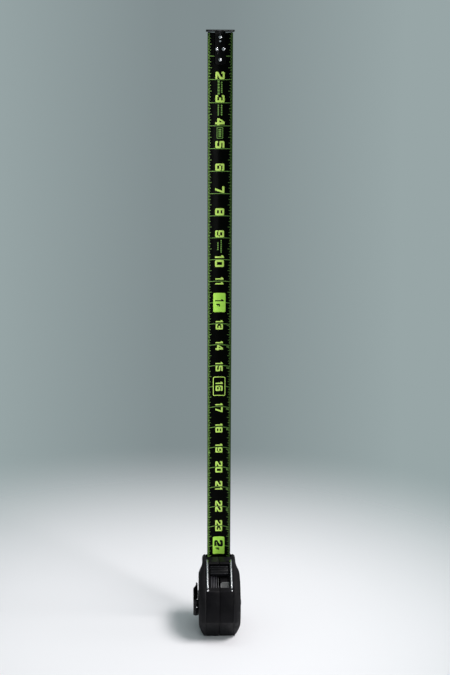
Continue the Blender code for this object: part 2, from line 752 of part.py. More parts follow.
def blade_guide(frame, finish):
    """Insert behind the blade in the mouth, hollowed to its cup, with a groove for the rivets' tails."""
    gap = BLADE_THICKNESS / 2 + 0.6
    span = BLADE_WIDTH / BLADE_SPANS
    edge = [blade_point(span * i, CUP_END, gap) for i in range(-6, 7) if abs(i) >= 3]
    back_y = BASE_Y - WALL - GAP
    groove_y = back_y - GUIDE_GROOVE_WALL
    front = [(x, y) for x, y, _ in edge if x < 0]
    shoulder_y = front[-1][1]
    groove = GUIDE_GROOVE_HALF_WIDTH
    front += [(-groove, shoulder_y), (-groove, groove_y), (groove, groove_y), (groove, shoulder_y)]
    front += [(x, y) for x, y, _ in edge if x > 0]
    outline = front + [(GUIDE_HALF_WIDTH, back_y), (-GUIDE_HALF_WIDTH, back_y)]
    rings = [[(x, y, z) for x, y in outline] for z in (CUP_END, CASE_LENGTH - 6.5)]
    return make_object("blade_guide", loft(rings), frame, finish)


# ---------------------------------------------------------------- thumb lock


def lock_lever(frame, finish):
    outline = [on_slope(t, n) for t, n in LEVER_PROFILE]
    slider = make_object("lock_lever", prism(outline, -LEVER_HALF_WIDTH, LEVER_HALF_WIDTH), frame, finish)
    stem = slope_block(STEM_HALF_WIDTH, STEM_START, STEM_END, STEM_LOW, -2.0)
    combine(slider, "UNION", [stem], frame)
    return slider


def brake_arm(frame, finish):
    """Bent plate under the track, from the lever's stem to the mouth."""
    low = BRAKE_TOP - BRAKE_THICKNESS
    upper = [on_slope(3.0, BRAKE_TOP), on_slope(16.0, BRAKE_TOP)]
    lower = [on_slope(16.0, low), on_slope(3.0, low)]
    body = prism(upper + lower + list(BRAKE_FOOT), -BRAKE_HALF_WIDTH, BRAKE_HALF_WIDTH)
    return make_object("brake_arm", body, frame, finish)


def brake_pad(frame, finish):
    """Forked shoe that presses the blade beside the hook's arm."""
    offset = -BLADE_THICKNESS / 2 - 0.6
    bar_low, bar_high = PAD_BAR
    near = blade_point(PAD_INNER, CUP_END, offset)[1]
    far = blade_point(PAD_OUTER, CUP_END, offset)[1] - 1.2
    right = [(PAD_OUTER, bar_low), (PAD_OUTER, far), (PAD_INNER, near), (PAD_INNER, bar_high)]
    left = [(-x, y) for x, y in reversed(right)]
    rings = [[(x, y, z) for x, y in right + left] for z in PAD_HEIGHTS]
    return make_object("brake_pad", loft(rings), frame, finish)


# ---------------------------------------------------------------- belt clip


def clip_path():
    bend_radius = (CLIP_INNER_X - CLIP_OUTER_X) / 2
    bend_x = (CLIP_INNER_X + CLIP_OUTER_X) / 2
    bend = arc((bend_x, CLIP_BEND_Y), bend_radius, 0.0, -180.0, 9)
    slant = [(CLIP_OUTER_X, 8.5), (CLIP_OUTER_X + 2.4, 15.5), (CLIP_OUTER_X + 4.2, 20.6)]
    flare = [(CLIP_OUTER_X + 4.4, 22.6), (CLIP_OUTER_X + 3.2, 24.8)]
    return [(CLIP_INNER_X, 3.5)] + bend + slant + flare


def belt_clip(frame, finish):
    """Spring strip: a leaf on the flank, a bend at the crown side, and a free leaf with a flared tip."""
    levels = {-1: CLIP_LOW, 1: CLIP_HIGH}
    body = strip(clip_path(), CLIP_THICKNESS, lambda point, side: (point.x, point.y, levels[side]))
    clip = make_object("belt_clip", body, frame, finish)
    y, z = CLIP_SCREW
    holes = [
        cylinder(SCREW_SHANK + 2 * GAP, (CLIP_INNER_X + 2.0, y, z), (CLIP_INNER_X - 2.0, y, z), 12),
        cylinder(4.0, (CLIP_OUTER_X + 2.0, y, z), (CLIP_OUTER_X - 2.0, y, z), 20),
    ]
    combine(clip, "DIFFERENCE", holes, frame)
    return clip


def clip_screw(frame, finish):
    seat = CLIP_INNER_X - CLIP_THICKNESS / 2 - GAP
    reach = -seat - CAVITY_HALF_WIDTH - GAP
    profile = [(SCREW_SHANK, -reach), (SCREW_SHANK, 0.0), (3.2, 0.0), (3.2, 0.7), (2.3, 1.4)]
    body = turned(profile, (seat, *CLIP_SCREW), (-1.0, 0.0, 0.0), 16)
    return make_object("clip_screw", body, frame, finish)


# ---------------------------------------------------------------- assembly


def main():
    clear_scene()
    plastic = material("case_plastic", (0.016, 0.016, 0.018), 0.42)
    rubber = material("grip_rubber", (0.020, 0.020, 0.022), 0.62)
    black_steel = material("black_steel", (0.012, 0.012, 0.013), 0.38, 0.3)
    steel = material("polished_steel", (0.75, 0.75, 0.76), 0.12, 1.0)
    tape = material("blade_coating", (0.010, 0.012, 0.010), 0.35)
    nylon = material("nylon", (0.55, 0.54, 0.50), 0.5)
    badge = material("badge", (0.07, 0.075, 0.08), 0.3)

    case = frame_empty("tape_measure", (0.0, 0.0, 0.0))
    spool = frame_empty("spool_axis", (0.0, *SPOOL_CENTRE), case)
    carriage = frame_empty("blade_carriage", (0.0, BLADE_Y_CUPPED, CASE_LENGTH), case)
    hook = frame_empty("hook_carriage", (0.0, BLADE_Y_CUPPED, BLADE_TOP), carriage)
    lever = frame_empty("lever_carriage", (0.0, *on_slope(TRACK_START, 0.0)), case)

    for side in SIDES:
        case_half(side, case, plastic)
        grip(side, case, rubber)
        guard_rod(side, case, steel)
        rod_pin(side, case, steel)
    side_badge(case, badge)
    case_screws(case, black_steel)
    post_screw(case, black_steel)
    centre_post(case, steel)
    blade_guide(case, nylon)
    belt_clip(case, black_steel)
    clip_screw(case, black_steel)

    spool_parts(spool, nylon, steel, tape)
    blade(carriage, tape)
    hook_rivets(carriage, steel)
    end_hook(hook, black_steel)
    lock_lever(lever, plastic)
    brake_arm(lever, steel)
    brake_pad(lever, rubber)


main()
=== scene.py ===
"""Looks of a tape measure that stands on its rear end, with its blade drawn straight up and locked.

Lengths are millimetres in the case frame: x = 0 is the seam between the case halves, +Z runs out of the
mouth along the blade, -Y is the crown with the thumb lock and +Y is the base. z = 0 is the rear end.
A mesh is moved to the row frame and scaled to metres when its object is made.
"""

import json
import math

import bmesh
import bpy
from mathutils import Matrix, Vector
from mathutils.geometry import delaunay_2d_cdt


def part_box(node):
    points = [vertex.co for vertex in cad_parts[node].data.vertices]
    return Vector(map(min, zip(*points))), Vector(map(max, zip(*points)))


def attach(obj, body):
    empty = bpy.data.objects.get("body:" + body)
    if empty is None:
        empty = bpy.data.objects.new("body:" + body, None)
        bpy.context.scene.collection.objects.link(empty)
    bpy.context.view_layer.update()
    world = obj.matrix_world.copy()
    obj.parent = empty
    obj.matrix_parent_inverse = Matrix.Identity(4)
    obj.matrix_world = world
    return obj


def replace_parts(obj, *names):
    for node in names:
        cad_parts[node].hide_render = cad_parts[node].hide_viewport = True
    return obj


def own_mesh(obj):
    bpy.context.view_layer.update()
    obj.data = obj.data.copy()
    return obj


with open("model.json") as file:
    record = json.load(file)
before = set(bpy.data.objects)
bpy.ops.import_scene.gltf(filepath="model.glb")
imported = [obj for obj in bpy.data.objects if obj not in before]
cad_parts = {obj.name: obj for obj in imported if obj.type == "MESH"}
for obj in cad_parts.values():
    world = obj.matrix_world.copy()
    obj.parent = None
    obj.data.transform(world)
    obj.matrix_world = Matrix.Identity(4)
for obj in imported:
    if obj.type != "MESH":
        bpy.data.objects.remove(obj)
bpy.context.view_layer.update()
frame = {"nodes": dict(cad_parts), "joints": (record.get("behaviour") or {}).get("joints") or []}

MM = 0.001
GAP = 0.3

# ---- sizes shared with the CAD part

BASE_Y = 38.0
CASE_LENGTH = 84.0
FLANK_CENTRE = (0.0, 39.0)
CROWN_RADIUS = 39.0
CROWN_TOP_ANGLE = 40.0
CROWN_LOW_ANGLE = -17.0
REAR_CORNER_RADIUS = 5.0
REAR_FRONT_Y = -17.0
LIP_BACK_Y = 24.0
SLOPE_TOP = (8.0, 83.5)
SLOPE_TOP_SHARP = (9.0, 84.0)
NOSE_ROUND = 0.9

HALF_SEAM = 0.15
SEAM_ROUND = 0.6
BAND_HALF_WIDTH = 16.0
BAND_ROUND = 0.5
STEP_DEPTH = 1.5
WALL = 2.8
CAVITY_HALF_WIDTH = 16.8
CASE_HALF_WIDTH = 18.6

GRIP_LIP = STEP_DEPTH - GAP
FLANK_HALF_WIDTH = 25.0
FLANK_FLAT_RADIUS = 31.0
NOSE_HALF_WIDTH = 20.4
NOSE_BLEND_RADIUS = 45.0
GRIP_EDGE_HALF_WIDTH = 16.9
NOSE_EDGE_ROUND = 4.5
BADGE_RADIUS = 23.6
BADGE_DEPTH = 1.0

SPOOL_CENTRE = (3.0, 34.0)
COIL_RADIUS = 28.0

BLADE_WIDTH = 32.0
BLADE_THICKNESS = 0.3
CUP_RADIUS = 18.4
BLADE_Y_FLAT = SPOOL_CENTRE[0] + COIL_RADIUS
BLADE_Y_CUPPED = 31.85
CUP_START = 36.0
CUP_END = 62.0
MOUTH_HALF_WIDTH = 15.6
MOUTH_FRONT = 24.4
MOUTH_BACK = 34.4

FLANGE_THICKNESS = 1.3
FLANGE_HALF_WIDTH = 15.95
FLANGE_FRONT = 22.5
FLANGE_CORNER = 2.5
ARM_HALF_WIDTH = 6.3
ARM_THICKNESS = 1.0
ARM_LENGTH = 34.5
HOOK_TRAVEL = 1.6
RIVET_PLACES = ((0.0, 4.8), (-4.1, 17.8), (4.1, 17.8), (0.0, 29.3))
RIVET_HEAD = 2.0
RIVET_SHANK = 1.2
NAIL_HOLE_DROP = 9.3
NAIL_HOLE_RADIUS = 1.0

TRACK_START = 2.0
TRACK_END = 36.8
TRACK_HALF_WIDTH = 12.3
TRACK_DEPTH = 3.5
TRAY_FLOOR = 5.6
LEVER_HALF_WIDTH = 10.7
STEM_HALF_WIDTH = 0.9
STEM_START = 8.0
STEM_END = 14.0

ROD_X = 14.3
ROD_RADIUS = 1.2
ROD_RISE = 1.55
ROD_BOW = 0.3
ROD_TOP_Y = 11.5
ROD_END_T = 37.6
PIN_T = 41.6
PIN_RADIUS = 1.3

SCREW_PLACES = ((31.0, 7.0), (-17.0, 9.0), (21.0, 62.0), (-27.0, 58.0))
SCREW_SHANK = 1.2
SCREW_HEAD = 2.6

CLIP_LOW = 30.0
CLIP_HIGH = 50.0
CLIP_THICKNESS = 1.0
CLIP_INNER_X = -(FLANK_HALF_WIDTH + 0.05 + CLIP_THICKNESS / 2)
CLIP_OUTER_X = -31.0
CLIP_BEND_Y = -19.5
CLIP_SCREW = (-9.0, 40.0)
CLIP_HOLE_Z = 40.4

SIDES = {"right": 1.0, "left": -1.0}

# ---- places read from the frame

blade_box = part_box("blade")
case_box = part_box("case_left")
hook_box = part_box("end_hook")
SEAM_X = (blade_box[0].x + blade_box[1].x) / 2 / MM
SEAM_Y = case_box[1].y / MM - BASE_Y
BLADE_TOP = blade_box[1].z / MM
BLADE_FOOT = blade_box[0].z / MM
FLANGE_TOP = hook_box[1].z / MM
ORIGIN = Vector((-SEAM_X, -SEAM_Y, 0.0))  # the row frame's origin, in the case frame
SLIDE = next(joint for joint in frame["joints"] if joint["name"] == "blade_slide")
SLIDE_TRAVEL = max(abs(limit) for limit in SLIDE["range_m"]) / MM

# ---- sizes of the fine surfaces

OUTLINE_STEP = 1.5  # degrees, as seen from the flank's centre
PRINT_LIFT = 0.06  # from the blade's face to the ink's underside
PRINT_THICKNESS = 0.04
INCH = 25.4

TRAY_START = 1.0
TRAY_END = 40.0
TRAY_RIM = 1.8
SLOT_HALF_WIDTH = STEM_HALF_WIDTH + 0.2
SLOT_START = STEM_START - 1.5
SLOT_END = TRACK_END - 5.0
TRACK_GAP = (TRACK_END - 1.5, TRACK_END)
LIP_GROOVE = (12.7, 13.2)
POCKET = (1.2, 11.6, 15.0, 24.5)  # left, right, start and end
FINE_ROUND = 0.08
CUT_OVER = 0.5  # how far a cutter stands over the floor that it cuts
FIRST_GROOVE_X = 2.9
GROOVE_START = 16.0
GROOVE_PITCH = 1.95
GROOVE_WIDTH = 0.9
GROOVE_DEPTH = 1.3
RIB_ROWS = 4
# across, as a share of the rib's half width, and height over the floor
RIB_PROFILE = ((-1.0, -0.4), (1.0, -0.4), (1.0, 0.1), (0.5, 0.28), (-0.5, 0.28), (-1.0, 0.1))
PLATE_ACROSS = (1.3, 11.6)
PLATE_ALONG = (26.0, 34.6)
PLATE_CUT = (1.8, 2.4)  # the missing corner, across and along
PLATE_RISE = 0.06
PLATE_LINES = 5
PLATE_LINE_PITCH = 1.5
# across from the slot's edge, and height over the floor
RAIL_PROFILE = ((-0.55, -0.3), (-0.05, -0.3), (-0.05, 0.12), (-0.2, 0.22), (-0.55, 0.1))
RAIL_STATIONS = (20.6, 27.0, TRACK_END - 2.0)

REAR_TAPER_TOP = 16.0
REAR_HALF_WIDTH = 19.4
REAR_TAPER_BLEND = 1.2
RING_RADIUS = 34.4
RING_HALF = 0.55
RING_SINK = 0.55
FLUTE_COUNT = 72
FLUTE_SINK = 0.4
FLUTE_MARGIN = 0.9  # from the ring groove, and from the flutes' outer end
FLUTE_FADES = (0.5, 0.6)  # over how much they set in and end
FLUTE_END = CROWN_RADIUS + 2.0
NOSE_SHARE = (0.5, 4.0)  # how far past the crown's radius the nose's shape sets in, and over how much
# where the rings of the grip's skin lie, from 0 at the outline to 1 at the flat of the flank
SKIN_SHARES = [0.0, 0.01, 0.03, 0.06, 0.1, 0.15, 0.2] + [0.2 + 0.04 * i for i in range(1, 21)]
FLANK_RADII = (29.0, 27.0, 25.5)  # of the rings within the flat
BADGE_PROFILE = (  # inwards from the rim, and height
    (0.0, 0.0), (0.0, 0.4), (0.12, 0.6), (0.4, 0.7), (1.6, 0.7), (1.8, 0.45), (4.2, 0.45), (4.4, 0.62),
    (5.0, 0.62), (5.2, 0.45), (14.6, 0.5), (14.8, 0.62), (15.4, 0.62), (15.6, 0.5), (23.1, 0.5),
)

SCREW_HOLE = SCREW_SHANK + 2 * GAP
SCREW_DOME = 0.8
DRIVE_HALF = 0.32
DRIVE_DEPTH = 0.9
POST_HEAD = 4.5
CLIP_SCREW_HEAD = 3.2
ROD_BEND = 1.5
NOSE_BEND = 4.0

BLADE_CORNER = 1.6
ARM_FOOT_ROUND = 3.0
SLOT_REACH = 3.5  # how far the cutters of the arm's slots reach
LEVER_PROFILE = (  # along the slope, and out of it
    (3.0, -3.2), (3.0, -1.9), (3.4, -1.6), (5.8, -1.4), (6.3, 0.4), (6.7, 1.6), (7.1, 2.3), (7.5, 2.4),
    (7.8, 2.3), (8.1, 1.6), (8.4, 1.15), (9.2, 1.15), (9.5, 1.6), (9.8, 2.3), (10.1, 2.4), (10.5, 2.3),
    (10.8, 1.6), (11.3, 1.25), (12.6, 1.0), (14.0, 0.9), (15.2, 1.1), (16.2, 1.5), (16.9, 1.45),
    (17.4, 1.1), (17.6, 0.5), (17.6, -3.2),
)
CLIP_BEND_X = (CLIP_INNER_X + CLIP_OUTER_X) / 2
CLIP_LEAF = (  # in from the free leaf's plane towards the flank, and y
    (0.0, -8.0), (0.0, 2.0), (0.0, 7.5), (0.35, 9.5), (2.4, 15.5), (4.2, 20.6), (4.5, 21.8), (4.3, 23.0),
    (3.2, 24.8),
)


# ---- outlines


def on_arc(centre, radius, degrees):
    angle = math.radians(degrees)
    return (centre[0] + radius * math.cos(angle), centre[1] + radius * math.sin(angle))


def arc(centre, radius, start, end, count):
    return [on_arc(centre, radius, start + (end - start) * i / (count - 1)) for i in range(count)]


def slope_direction():
    """Unit vectors of the nose slope: along it towards the crown, and out of it."""
    low = on_arc(FLANK_CENTRE, CROWN_RADIUS, 180.0 - CROWN_TOP_ANGLE)
    along = Vector((low[0] - SLOPE_TOP[0], low[1] - SLOPE_TOP[1])).normalized()
    return along, Vector((along.y, -along.x))


def on_slope(t, n):
    """A point (y, z) at t along the nose slope and n out of it."""
    along, out = slope_direction()
    point = Vector(SLOPE_TOP) + t * along + n * out
    return (point.x, point.y)


def sides_of(outline):
    """Pairs of neighbouring points, the last with the first one too."""
    return zip(outline, outline[1:] + outline[:1])


def mitre(before, after):
    """How far a corner moves, where its two sides move to their left by one."""
    first = Vector((-before.y, before.x)).normalized()
    second = Vector((-after.y, after.x)).normalized()
    return (first + second) / (1.0 + first.dot(second))


def spread(points, step):
    """Adds points on the straight stretches, at most step degrees apart as seen from the flank's centre."""
    dense = []
    for start, end in sides_of(points):
        first = math.atan2(start[1] - FLANK_CENTRE[1], start[0] - FLANK_CENTRE[0])
        last = math.atan2(end[1] - FLANK_CENTRE[1], end[0] - FLANK_CENTRE[0])
        turn = abs(math.remainder(last - first, 2 * math.pi))
        count = max(1, math.ceil(math.degrees(turn) / step))
        for i in range(count):
            share = i / count
            dense.append((start[0] + (end[0] - start[0]) * share, start[1] + (end[1] - start[1]) * share))
    return dense


def fillet(before, corner, after, radius, count=5):
    """Points that round a corner between two straight stretches."""
    here = Vector(corner)
    back = (Vector(before) - here).normalized()
    ahead = (Vector(after) - here).normalized()
    half = back.angle(ahead) / 2
    centre = here + (back + ahead).normalized() * (radius / math.sin(half))
    first = here + back * (radius / math.tan(half)) - centre
    last = here + ahead * (radius / math.tan(half)) - centre
    turn = math.remainder(math.atan2(last.y, last.x) - math.atan2(first.y, first.x), 2 * math.pi)
    start = math.degrees(math.atan2(first.y, first.x))
    return arc(tuple(centre), radius, start, start + math.degrees(turn), count)


def case_corners():
    """The stretches of the outline: base, nose and crown, with sharp corners between them."""
    corner = (BASE_Y - REAR_CORNER_RADIUS, REAR_CORNER_RADIUS)
    rear = arc(corner, REAR_CORNER_RADIUS, -90.0, 0.0, 12)
    crown = arc(FLANK_CENTRE, CROWN_RADIUS, 180.0 - CROWN_TOP_ANGLE, 180.0 - CROWN_LOW_ANGLE, 40)
    nose_back = [(BASE_Y, CASE_LENGTH - 1.3), (34.0, CASE_LENGTH - 1.3), (LIP_BACK_Y, CASE_LENGTH)]
    return rear, nose_back, crown


def sharp_outline():
    rear, nose_back, crown = case_corners()
    return spread(rear + nose_back + [SLOPE_TOP_SHARP] + crown + [(REAR_FRONT_Y, 0.0)], OUTLINE_STEP)


def case_outline():
    rear, nose_back, crown = case_corners()
    nose = fillet(rear[-1], nose_back[0], nose_back[1], 3.4, 8) + nose_back[1:]
    nose += fillet(nose_back[-1], SLOPE_TOP_SHARP, crown[0], NOSE_ROUND)
    heel = fillet(crown[-1], (REAR_FRONT_Y, 0.0), rear[0], NOSE_ROUND)
    return spread(rear + nose + crown + heel, OUTLINE_STEP)


def inset(points, distance):
    """The outline moved inwards by distance, point by point."""
    moved = []
    for i, (start, end) in enumerate(sides_of(points)):
        here = Vector(start)
        moved.append(tuple(here + distance * mitre(here - Vector(points[i - 1]), Vector(end) - here)))
    return moved


def cast(point, outline):
    """Where the ray from the flank's centre through a point meets an outline."""
    centre = Vector(FLANK_CENTRE)
    ray = (Vector(point) - centre).normalized()
    for start, end in sides_of(outline):
        a = Vector(start) - centre
        edge = Vector(end) - Vector(start)
        turn = ray.cross(edge)
        if abs(turn) < 1e-9:
            continue
        reach = a.cross(edge) / turn
        share = a.cross(ray) / turn
        if reach > 0.0 and -1e-6 <= share <= 1.0 + 1e-6:
            return tuple(centre + ray * reach)
    raise ValueError(point)


def inner_outline(distance):
    """The outline moved inwards, with as many points as the outline itself."""
    if distance < 0.8 * NOSE_ROUND:
        return inset(case_outline(), distance)
    limit = inset(sharp_outline(), distance)
    return [cast(point, limit) for point in case_outline()]


# ---- bodies


def loft(rings):
    """A closed body through rings that have the same number of points."""
    body = bmesh.new()
    rows = [[body.verts.new(point) for point in ring] for ring in rings]
    body.faces.new(rows[0])
    body.faces.new(rows[-1])
    for row, following in zip(rows, rows[1:]):
        for i in range(len(row)):
            j = (i + 1) % len(row)
            body.faces.new((row[i], row[j], following[j], following[i]))
    bmesh.ops.recalc_face_normals(body, faces=body.faces)
    return body


def ring_at(x, outline):
    return [(x, y, z) for y, z in outline]


def prism(outline, x_start, x_end):
    return loft([ring_at(x_start, outline), ring_at(x_end, outline)])


def block(low, high):
    outline = [(low[1], low[2]), (high[1], low[2]), (high[1], high[2]), (low[1], high[2])]
    return prism(outline, low[0], high[0])


def slope_block(x_start, x_end, t_start, t_end, n_low, n_high):
    corners = ((t_start, n_low), (t_end, n_low), (t_end, n_high), (t_start, n_high))
    return prism([on_slope(t, n) for t, n in corners], x_start, x_end)


def circle(centre, radius, first, second, sides, offset=0.0):
    """Points of a circle in the plane of two unit vectors."""
    angles = [2 * math.pi * (i + offset) / sides for i in range(sides)]
    return [centre + radius * (math.cos(angle) * first + math.sin(angle) * second) for angle in angles]


def turned(profile, at, axis, sides=48):
    """A body of revolution: profile holds (radius, distance along the axis from at)."""
    axis = Vector(axis).normalized()
    first = axis.orthogonal().normalized()
    second = axis.cross(first)
    rings = []
    for radius, along in profile:
        rings.append(circle(Vector(at) + axis * along, radius, first, second, sides, 0.5))
    return loft(rings)


def cylinder(radius, start, end, sides=32):
    start = Vector(start)
    axis = Vector(end) - start
    return turned([(radius, 0.0), (radius, axis.length)], start, axis, sides)


def directions(path):
    """The unit direction of a path at each of its points."""
    points = [Vector(point) for point in path]
    behind = points[:1] + points[:-1]
    ahead = points[1:] + points[-1:]
    return [(after - before).normalized() for before, after in zip(behind, ahead)]


def strip(path, thickness, place):
    """A flat strip that follows a path of 2-D points; place turns a 2-D point and a side into 3-D."""
    rings = []
    for point, along in zip(path, directions(path)):
        here = Vector(point)
        out = Vector((-along.y, along.x)) * (thickness / 2)
        corners = ((out, -1), (out, 1), (-out, 1), (-out, -1))
        rings.append([place(here + shift, side) for shift, side in corners])
    return loft(rings)


def tube(path, radius, x, sides=28):
    """A round rod in the plane at x, through a path of (y, z) points."""
    sideways = Vector((1.0, 0.0, 0.0))
    rings = []
    for point, along in zip(path, directions(path)):
        across = Vector((0.0, -along.y, along.x))
        rings.append(circle(Vector((x, *point)), radius, sideways, across, sides))
    return loft(rings)


# ---- objects


def make_object(name, body, finish=None):
    """An object in the row frame from a body in the case frame."""
    for vert in body.verts:
        vert.co = (vert.co - ORIGIN) * MM
    mesh = bpy.data.meshes.new(name)
    body.to_mesh(mesh)
    body.free()
    obj = bpy.data.objects.new(name, mesh)
    bpy.context.scene.collection.objects.link(obj)
    if finish:
        mesh.materials.append(finish)
    return obj


def settle(obj, sharp=35.0):
    """Replaces the object's mesh with what its modifiers make of it, shaded smooth up to an angle."""
    shown = obj.evaluated_get(bpy.context.evaluated_depsgraph_get())
    mesh = bpy.data.meshes.new_from_object(shown)
    obj.modifiers.clear()
    obj.data = mesh
    mesh.name = obj.name
    mesh.shade_smooth()
    mesh.set_sharp_from_angle(angle=math.radians(sharp))
    return obj


def combine(obj, operation, bodies):
    """Joins bodies to an object, or cuts them from it, one Boolean for each."""
    tools = []
    for body in bodies:
        tool = make_object(f"{obj.name}_tool", body)
        tools.append(tool)
        modifier = obj.modifiers.new("boolean", "BOOLEAN")
        modifier.operation = operation
        modifier.solver = "EXACT"
        modifier.object = tool
    bpy.context.view_layer.update()
    settle(obj)
    for tool in tools:
        bpy.data.objects.remove(tool)
    return obj


def add_bevel(obj, width, segments, angle):
    modifier = obj.modifiers.new("rounding", "BEVEL")
    modifier.width = width * MM
    modifier.segments = segments
    modifier.limit_method = "ANGLE"
    modifier.angle_limit = math.radians(angle)
    return modifier


def round_edges(obj, width, segments=2, angle=35.0):
    """Rounds the sharp edges of a piece."""
    add_bevel(obj, width, segments, angle).miter_outer = "MITER_ARC"
    return settle(obj)


def belong(obj, body, stands_for=()):
    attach(obj, body)
    if stands_for:
        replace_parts(obj, *stands_for)
    return obj


# ---- materials

SMEAR_RATIO = 2.3  # how much finer the patches of roughness are than those of colour
WEAR_POINTINESS = (0.53, 0.6)  # where wear starts and where it is full
BADGE_RINGS = 5200.0  # radians per metre

INK = {
    "rough": (0.35, 0.5), "patch": 180.0, "coat": 0.05, "coat_rough": 0.25, "specular": 0.1,
    "grain": (1800.0, 2.0, 0.00001, 0.4),
}
NICKEL = {
    "dark": (205, 205, 208), "light": (236, 236, 238), "patch": 160.0, "metallic": 1.0,
    "grain": (900.0, 4.0, 0.00001, 0.35),
}
# dark and light are the screen levels that a surface varies between, and patch is that noise's scale. grain
# is the scale and detail of the fine bump, its depth in metres and its strength. stretch is the grain's
# scale along each axis. wear is the screen levels of worn edges and how much they show.
FINISHES = {
    "lever_plastic": {
        "dark": (9, 9, 11), "light": (13, 13, 15), "rough": (0.3, 0.4), "patch": 140.0, "specular": 0.12,
        "grain": (2200.0, 2.0, 0.00002, 0.5), "wear": ((84, 84, 90), 0.35),
    },
    "black_steel": {
        "dark": (3, 3, 4), "light": (7, 7, 8), "rough": (0.34, 0.46), "patch": 110.0, "coat": 0.02,
        "coat_rough": 0.2, "specular": 0.06, "grain": (1500.0, 3.0, 0.00003, 0.4),
        "wear": ((120, 120, 122), 0.7),
    },
    "bright_steel": {**NICKEL, "rough": (0.2, 0.32)},
    "polished_steel": {**NICKEL, "rough": (0.08, 0.2)},
    "blade_coating": {
        "dark": (2, 3, 2), "light": (4, 5, 4), "rough": (0.3, 0.4), "patch": 40.0, "coat": 0.01,
        "coat_rough": 0.25, "specular": 0.03, "grain": (260.0, 4.0, 0.00002, 0.35),
        "stretch": (4.0, 4.0, 0.4),
    },
    "nylon": {
        "dark": (170, 168, 158), "light": (198, 196, 186), "rough": (0.4, 0.55), "patch": 100.0,
        "grain": (1200.0, 3.0, 0.00003, 0.4), "wear": ((225, 224, 216), 0.4),
    },
    "spring_steel": {**NICKEL, "rough": (0.3, 0.42), "stretch": (1.0, 8.0, 8.0)},
    "lime_ink": {**INK, "dark": (204, 250, 108), "light": (224, 255, 130)},
    "block_ink": {**INK, "dark": (182, 246, 88), "light": (200, 254, 106)},
    "green_ink": {**INK, "dark": (58, 84, 41), "light": (67, 94, 48)},
    "mark_ink": {**INK, "dark": (120, 165, 78), "light": (138, 184, 92)},
    "dark_ink": {**INK, "dark": (5, 8, 4), "light": (9, 12, 6)},
    "track_plate": {
        "dark": (84, 86, 86), "light": (96, 98, 98), "rough": (0.4, 0.5), "patch": 200.0,
        "grain": (1600.0, 2.0, 0.00002, 0.5),
    },
    # The track's ribs, in a plastic paler than the case's.
    "pale_rib_plastic": {
        "dark": (37, 37, 43), "light": (53, 53, 59), "rough": (0.35, 0.5), "patch": 160.0,
        "grain": (1600.0, 2.0, 0.00002, 0.5),
    },
}


def add(tree, kind, inputs=None, **settings):
    """A shader node; an input is a value, or another node's output to link to."""
    made = tree.nodes.new(f"ShaderNode{kind}")
    for key, value in settings.items():
        setattr(made, key, value)
    for key, value in (inputs or {}).items():
        if isinstance(value, bpy.types.NodeSocket):
            tree.links.new(value, made.inputs[key])
        else:
            made.inputs[key].default_value = value
    return made


def noise(tree, scale, detail=4.0, stretch=(1.0, 1.0, 1.0)):
    coordinates = add(tree, "TexCoord")
    mapping = add(tree, "Mapping", {"Vector": coordinates.outputs["Object"], "Scale": stretch})
    inputs = {"Vector": mapping.outputs["Vector"], "Scale": scale, "Detail": detail}
    return add(tree, "TexNoise", inputs).outputs["Fac"]


def cells(tree, scale):
    coordinates = add(tree, "TexCoord")
    inputs = {"Vector": coordinates.outputs["Object"], "Scale": scale}
    return add(tree, "TexVoronoi", inputs).outputs["Distance"]


def between(tree, factor, low, high, start=0.3, end=0.7, kind="LINEAR"):
    """A number that goes from low to high as the factor goes from start to end."""
    inputs = {"Value": factor, "From Min": start, "From Max": end, "To Min": low, "To Max": high}
    return add(tree, "MapRange", inputs, interpolation_type=kind).outputs["Result"]


def blend_colours(tree, factor, first, second):
    mix = add(tree, "Mix", data_type="RGBA")
    tree.links.new(factor, mix.inputs["Factor"])
    for socket, value in (("A", first), ("B", second)):
        target = next(s for s in mix.inputs if s.name == socket and s.type == "RGBA")
        if isinstance(value, bpy.types.NodeSocket):
            tree.links.new(value, target)
        else:
            target.default_value = (*value, 1.0)
    return next(s for s in mix.outputs if s.type == "RGBA")


def linear(levels):
    """A colour given as 0 to 255 on a screen, as linear light."""
    shares = [level / 255 for level in levels]
    return tuple(((v + 0.055) / 1.055) ** 2.4 if v > 0.04045 else v / 12.92 for v in shares)


def finish_of(name, dark, light, rough, patch, metallic=0.0, coat=0.0, coat_rough=0.1, specular=0.5):
    """A surface whose colour and roughness vary in patches. Returns the material and its shader."""
    made = bpy.data.materials.new(name)
    made.use_nodes = True
    tree = made.node_tree
    shader = tree.nodes["Principled BSDF"]
    shader.inputs["Metallic"].default_value = metallic
    shader.inputs["Coat Weight"].default_value = coat
    shader.inputs["Coat Roughness"].default_value = coat_rough
    shader.inputs["Specular IOR Level"].default_value = specular
    share = between(tree, noise(tree, patch, 5.0), 0.0, 1.0)
    tree.links.new(blend_colours(tree, share, linear(dark), linear(light)), shader.inputs["Base Color"])
    smears = noise(tree, patch * SMEAR_RATIO, 3.0)
    tree.links.new(between(tree, smears, *rough), shader.inputs["Roughness"])
    return made, shader


def roughen(made, shader, height, depth, strength):
    """Bump from a height; its depth is in metres."""
    tree = made.node_tree
    bump = add(tree, "Bump", {"Height": height, "Distance": depth, "Strength": strength})
    tree.links.new(bump.outputs["Normal"], shader.inputs["Normal"])


def wear_edges(made, shader, levels, amount):
    """Lightens convex edges, broken up by noise, as handling does."""
    tree = made.node_tree
    pointed = add(tree, "NewGeometry").outputs["Pointiness"]
    edge = between(tree, pointed, 0.0, amount, *WEAR_POINTINESS)
    broken = between(tree, noise(tree, 700.0, 3.0), 0.15, 1.0, 0.4, 0.6)
    worn = add(tree, "Math", {0: edge, 1: broken}, operation="MULTIPLY").outputs["Value"]
    base = shader.inputs["Base Color"].links[0].from_socket
    tree.links.new(blend_colours(tree, worn, base, linear(levels)), shader.inputs["Base Color"])


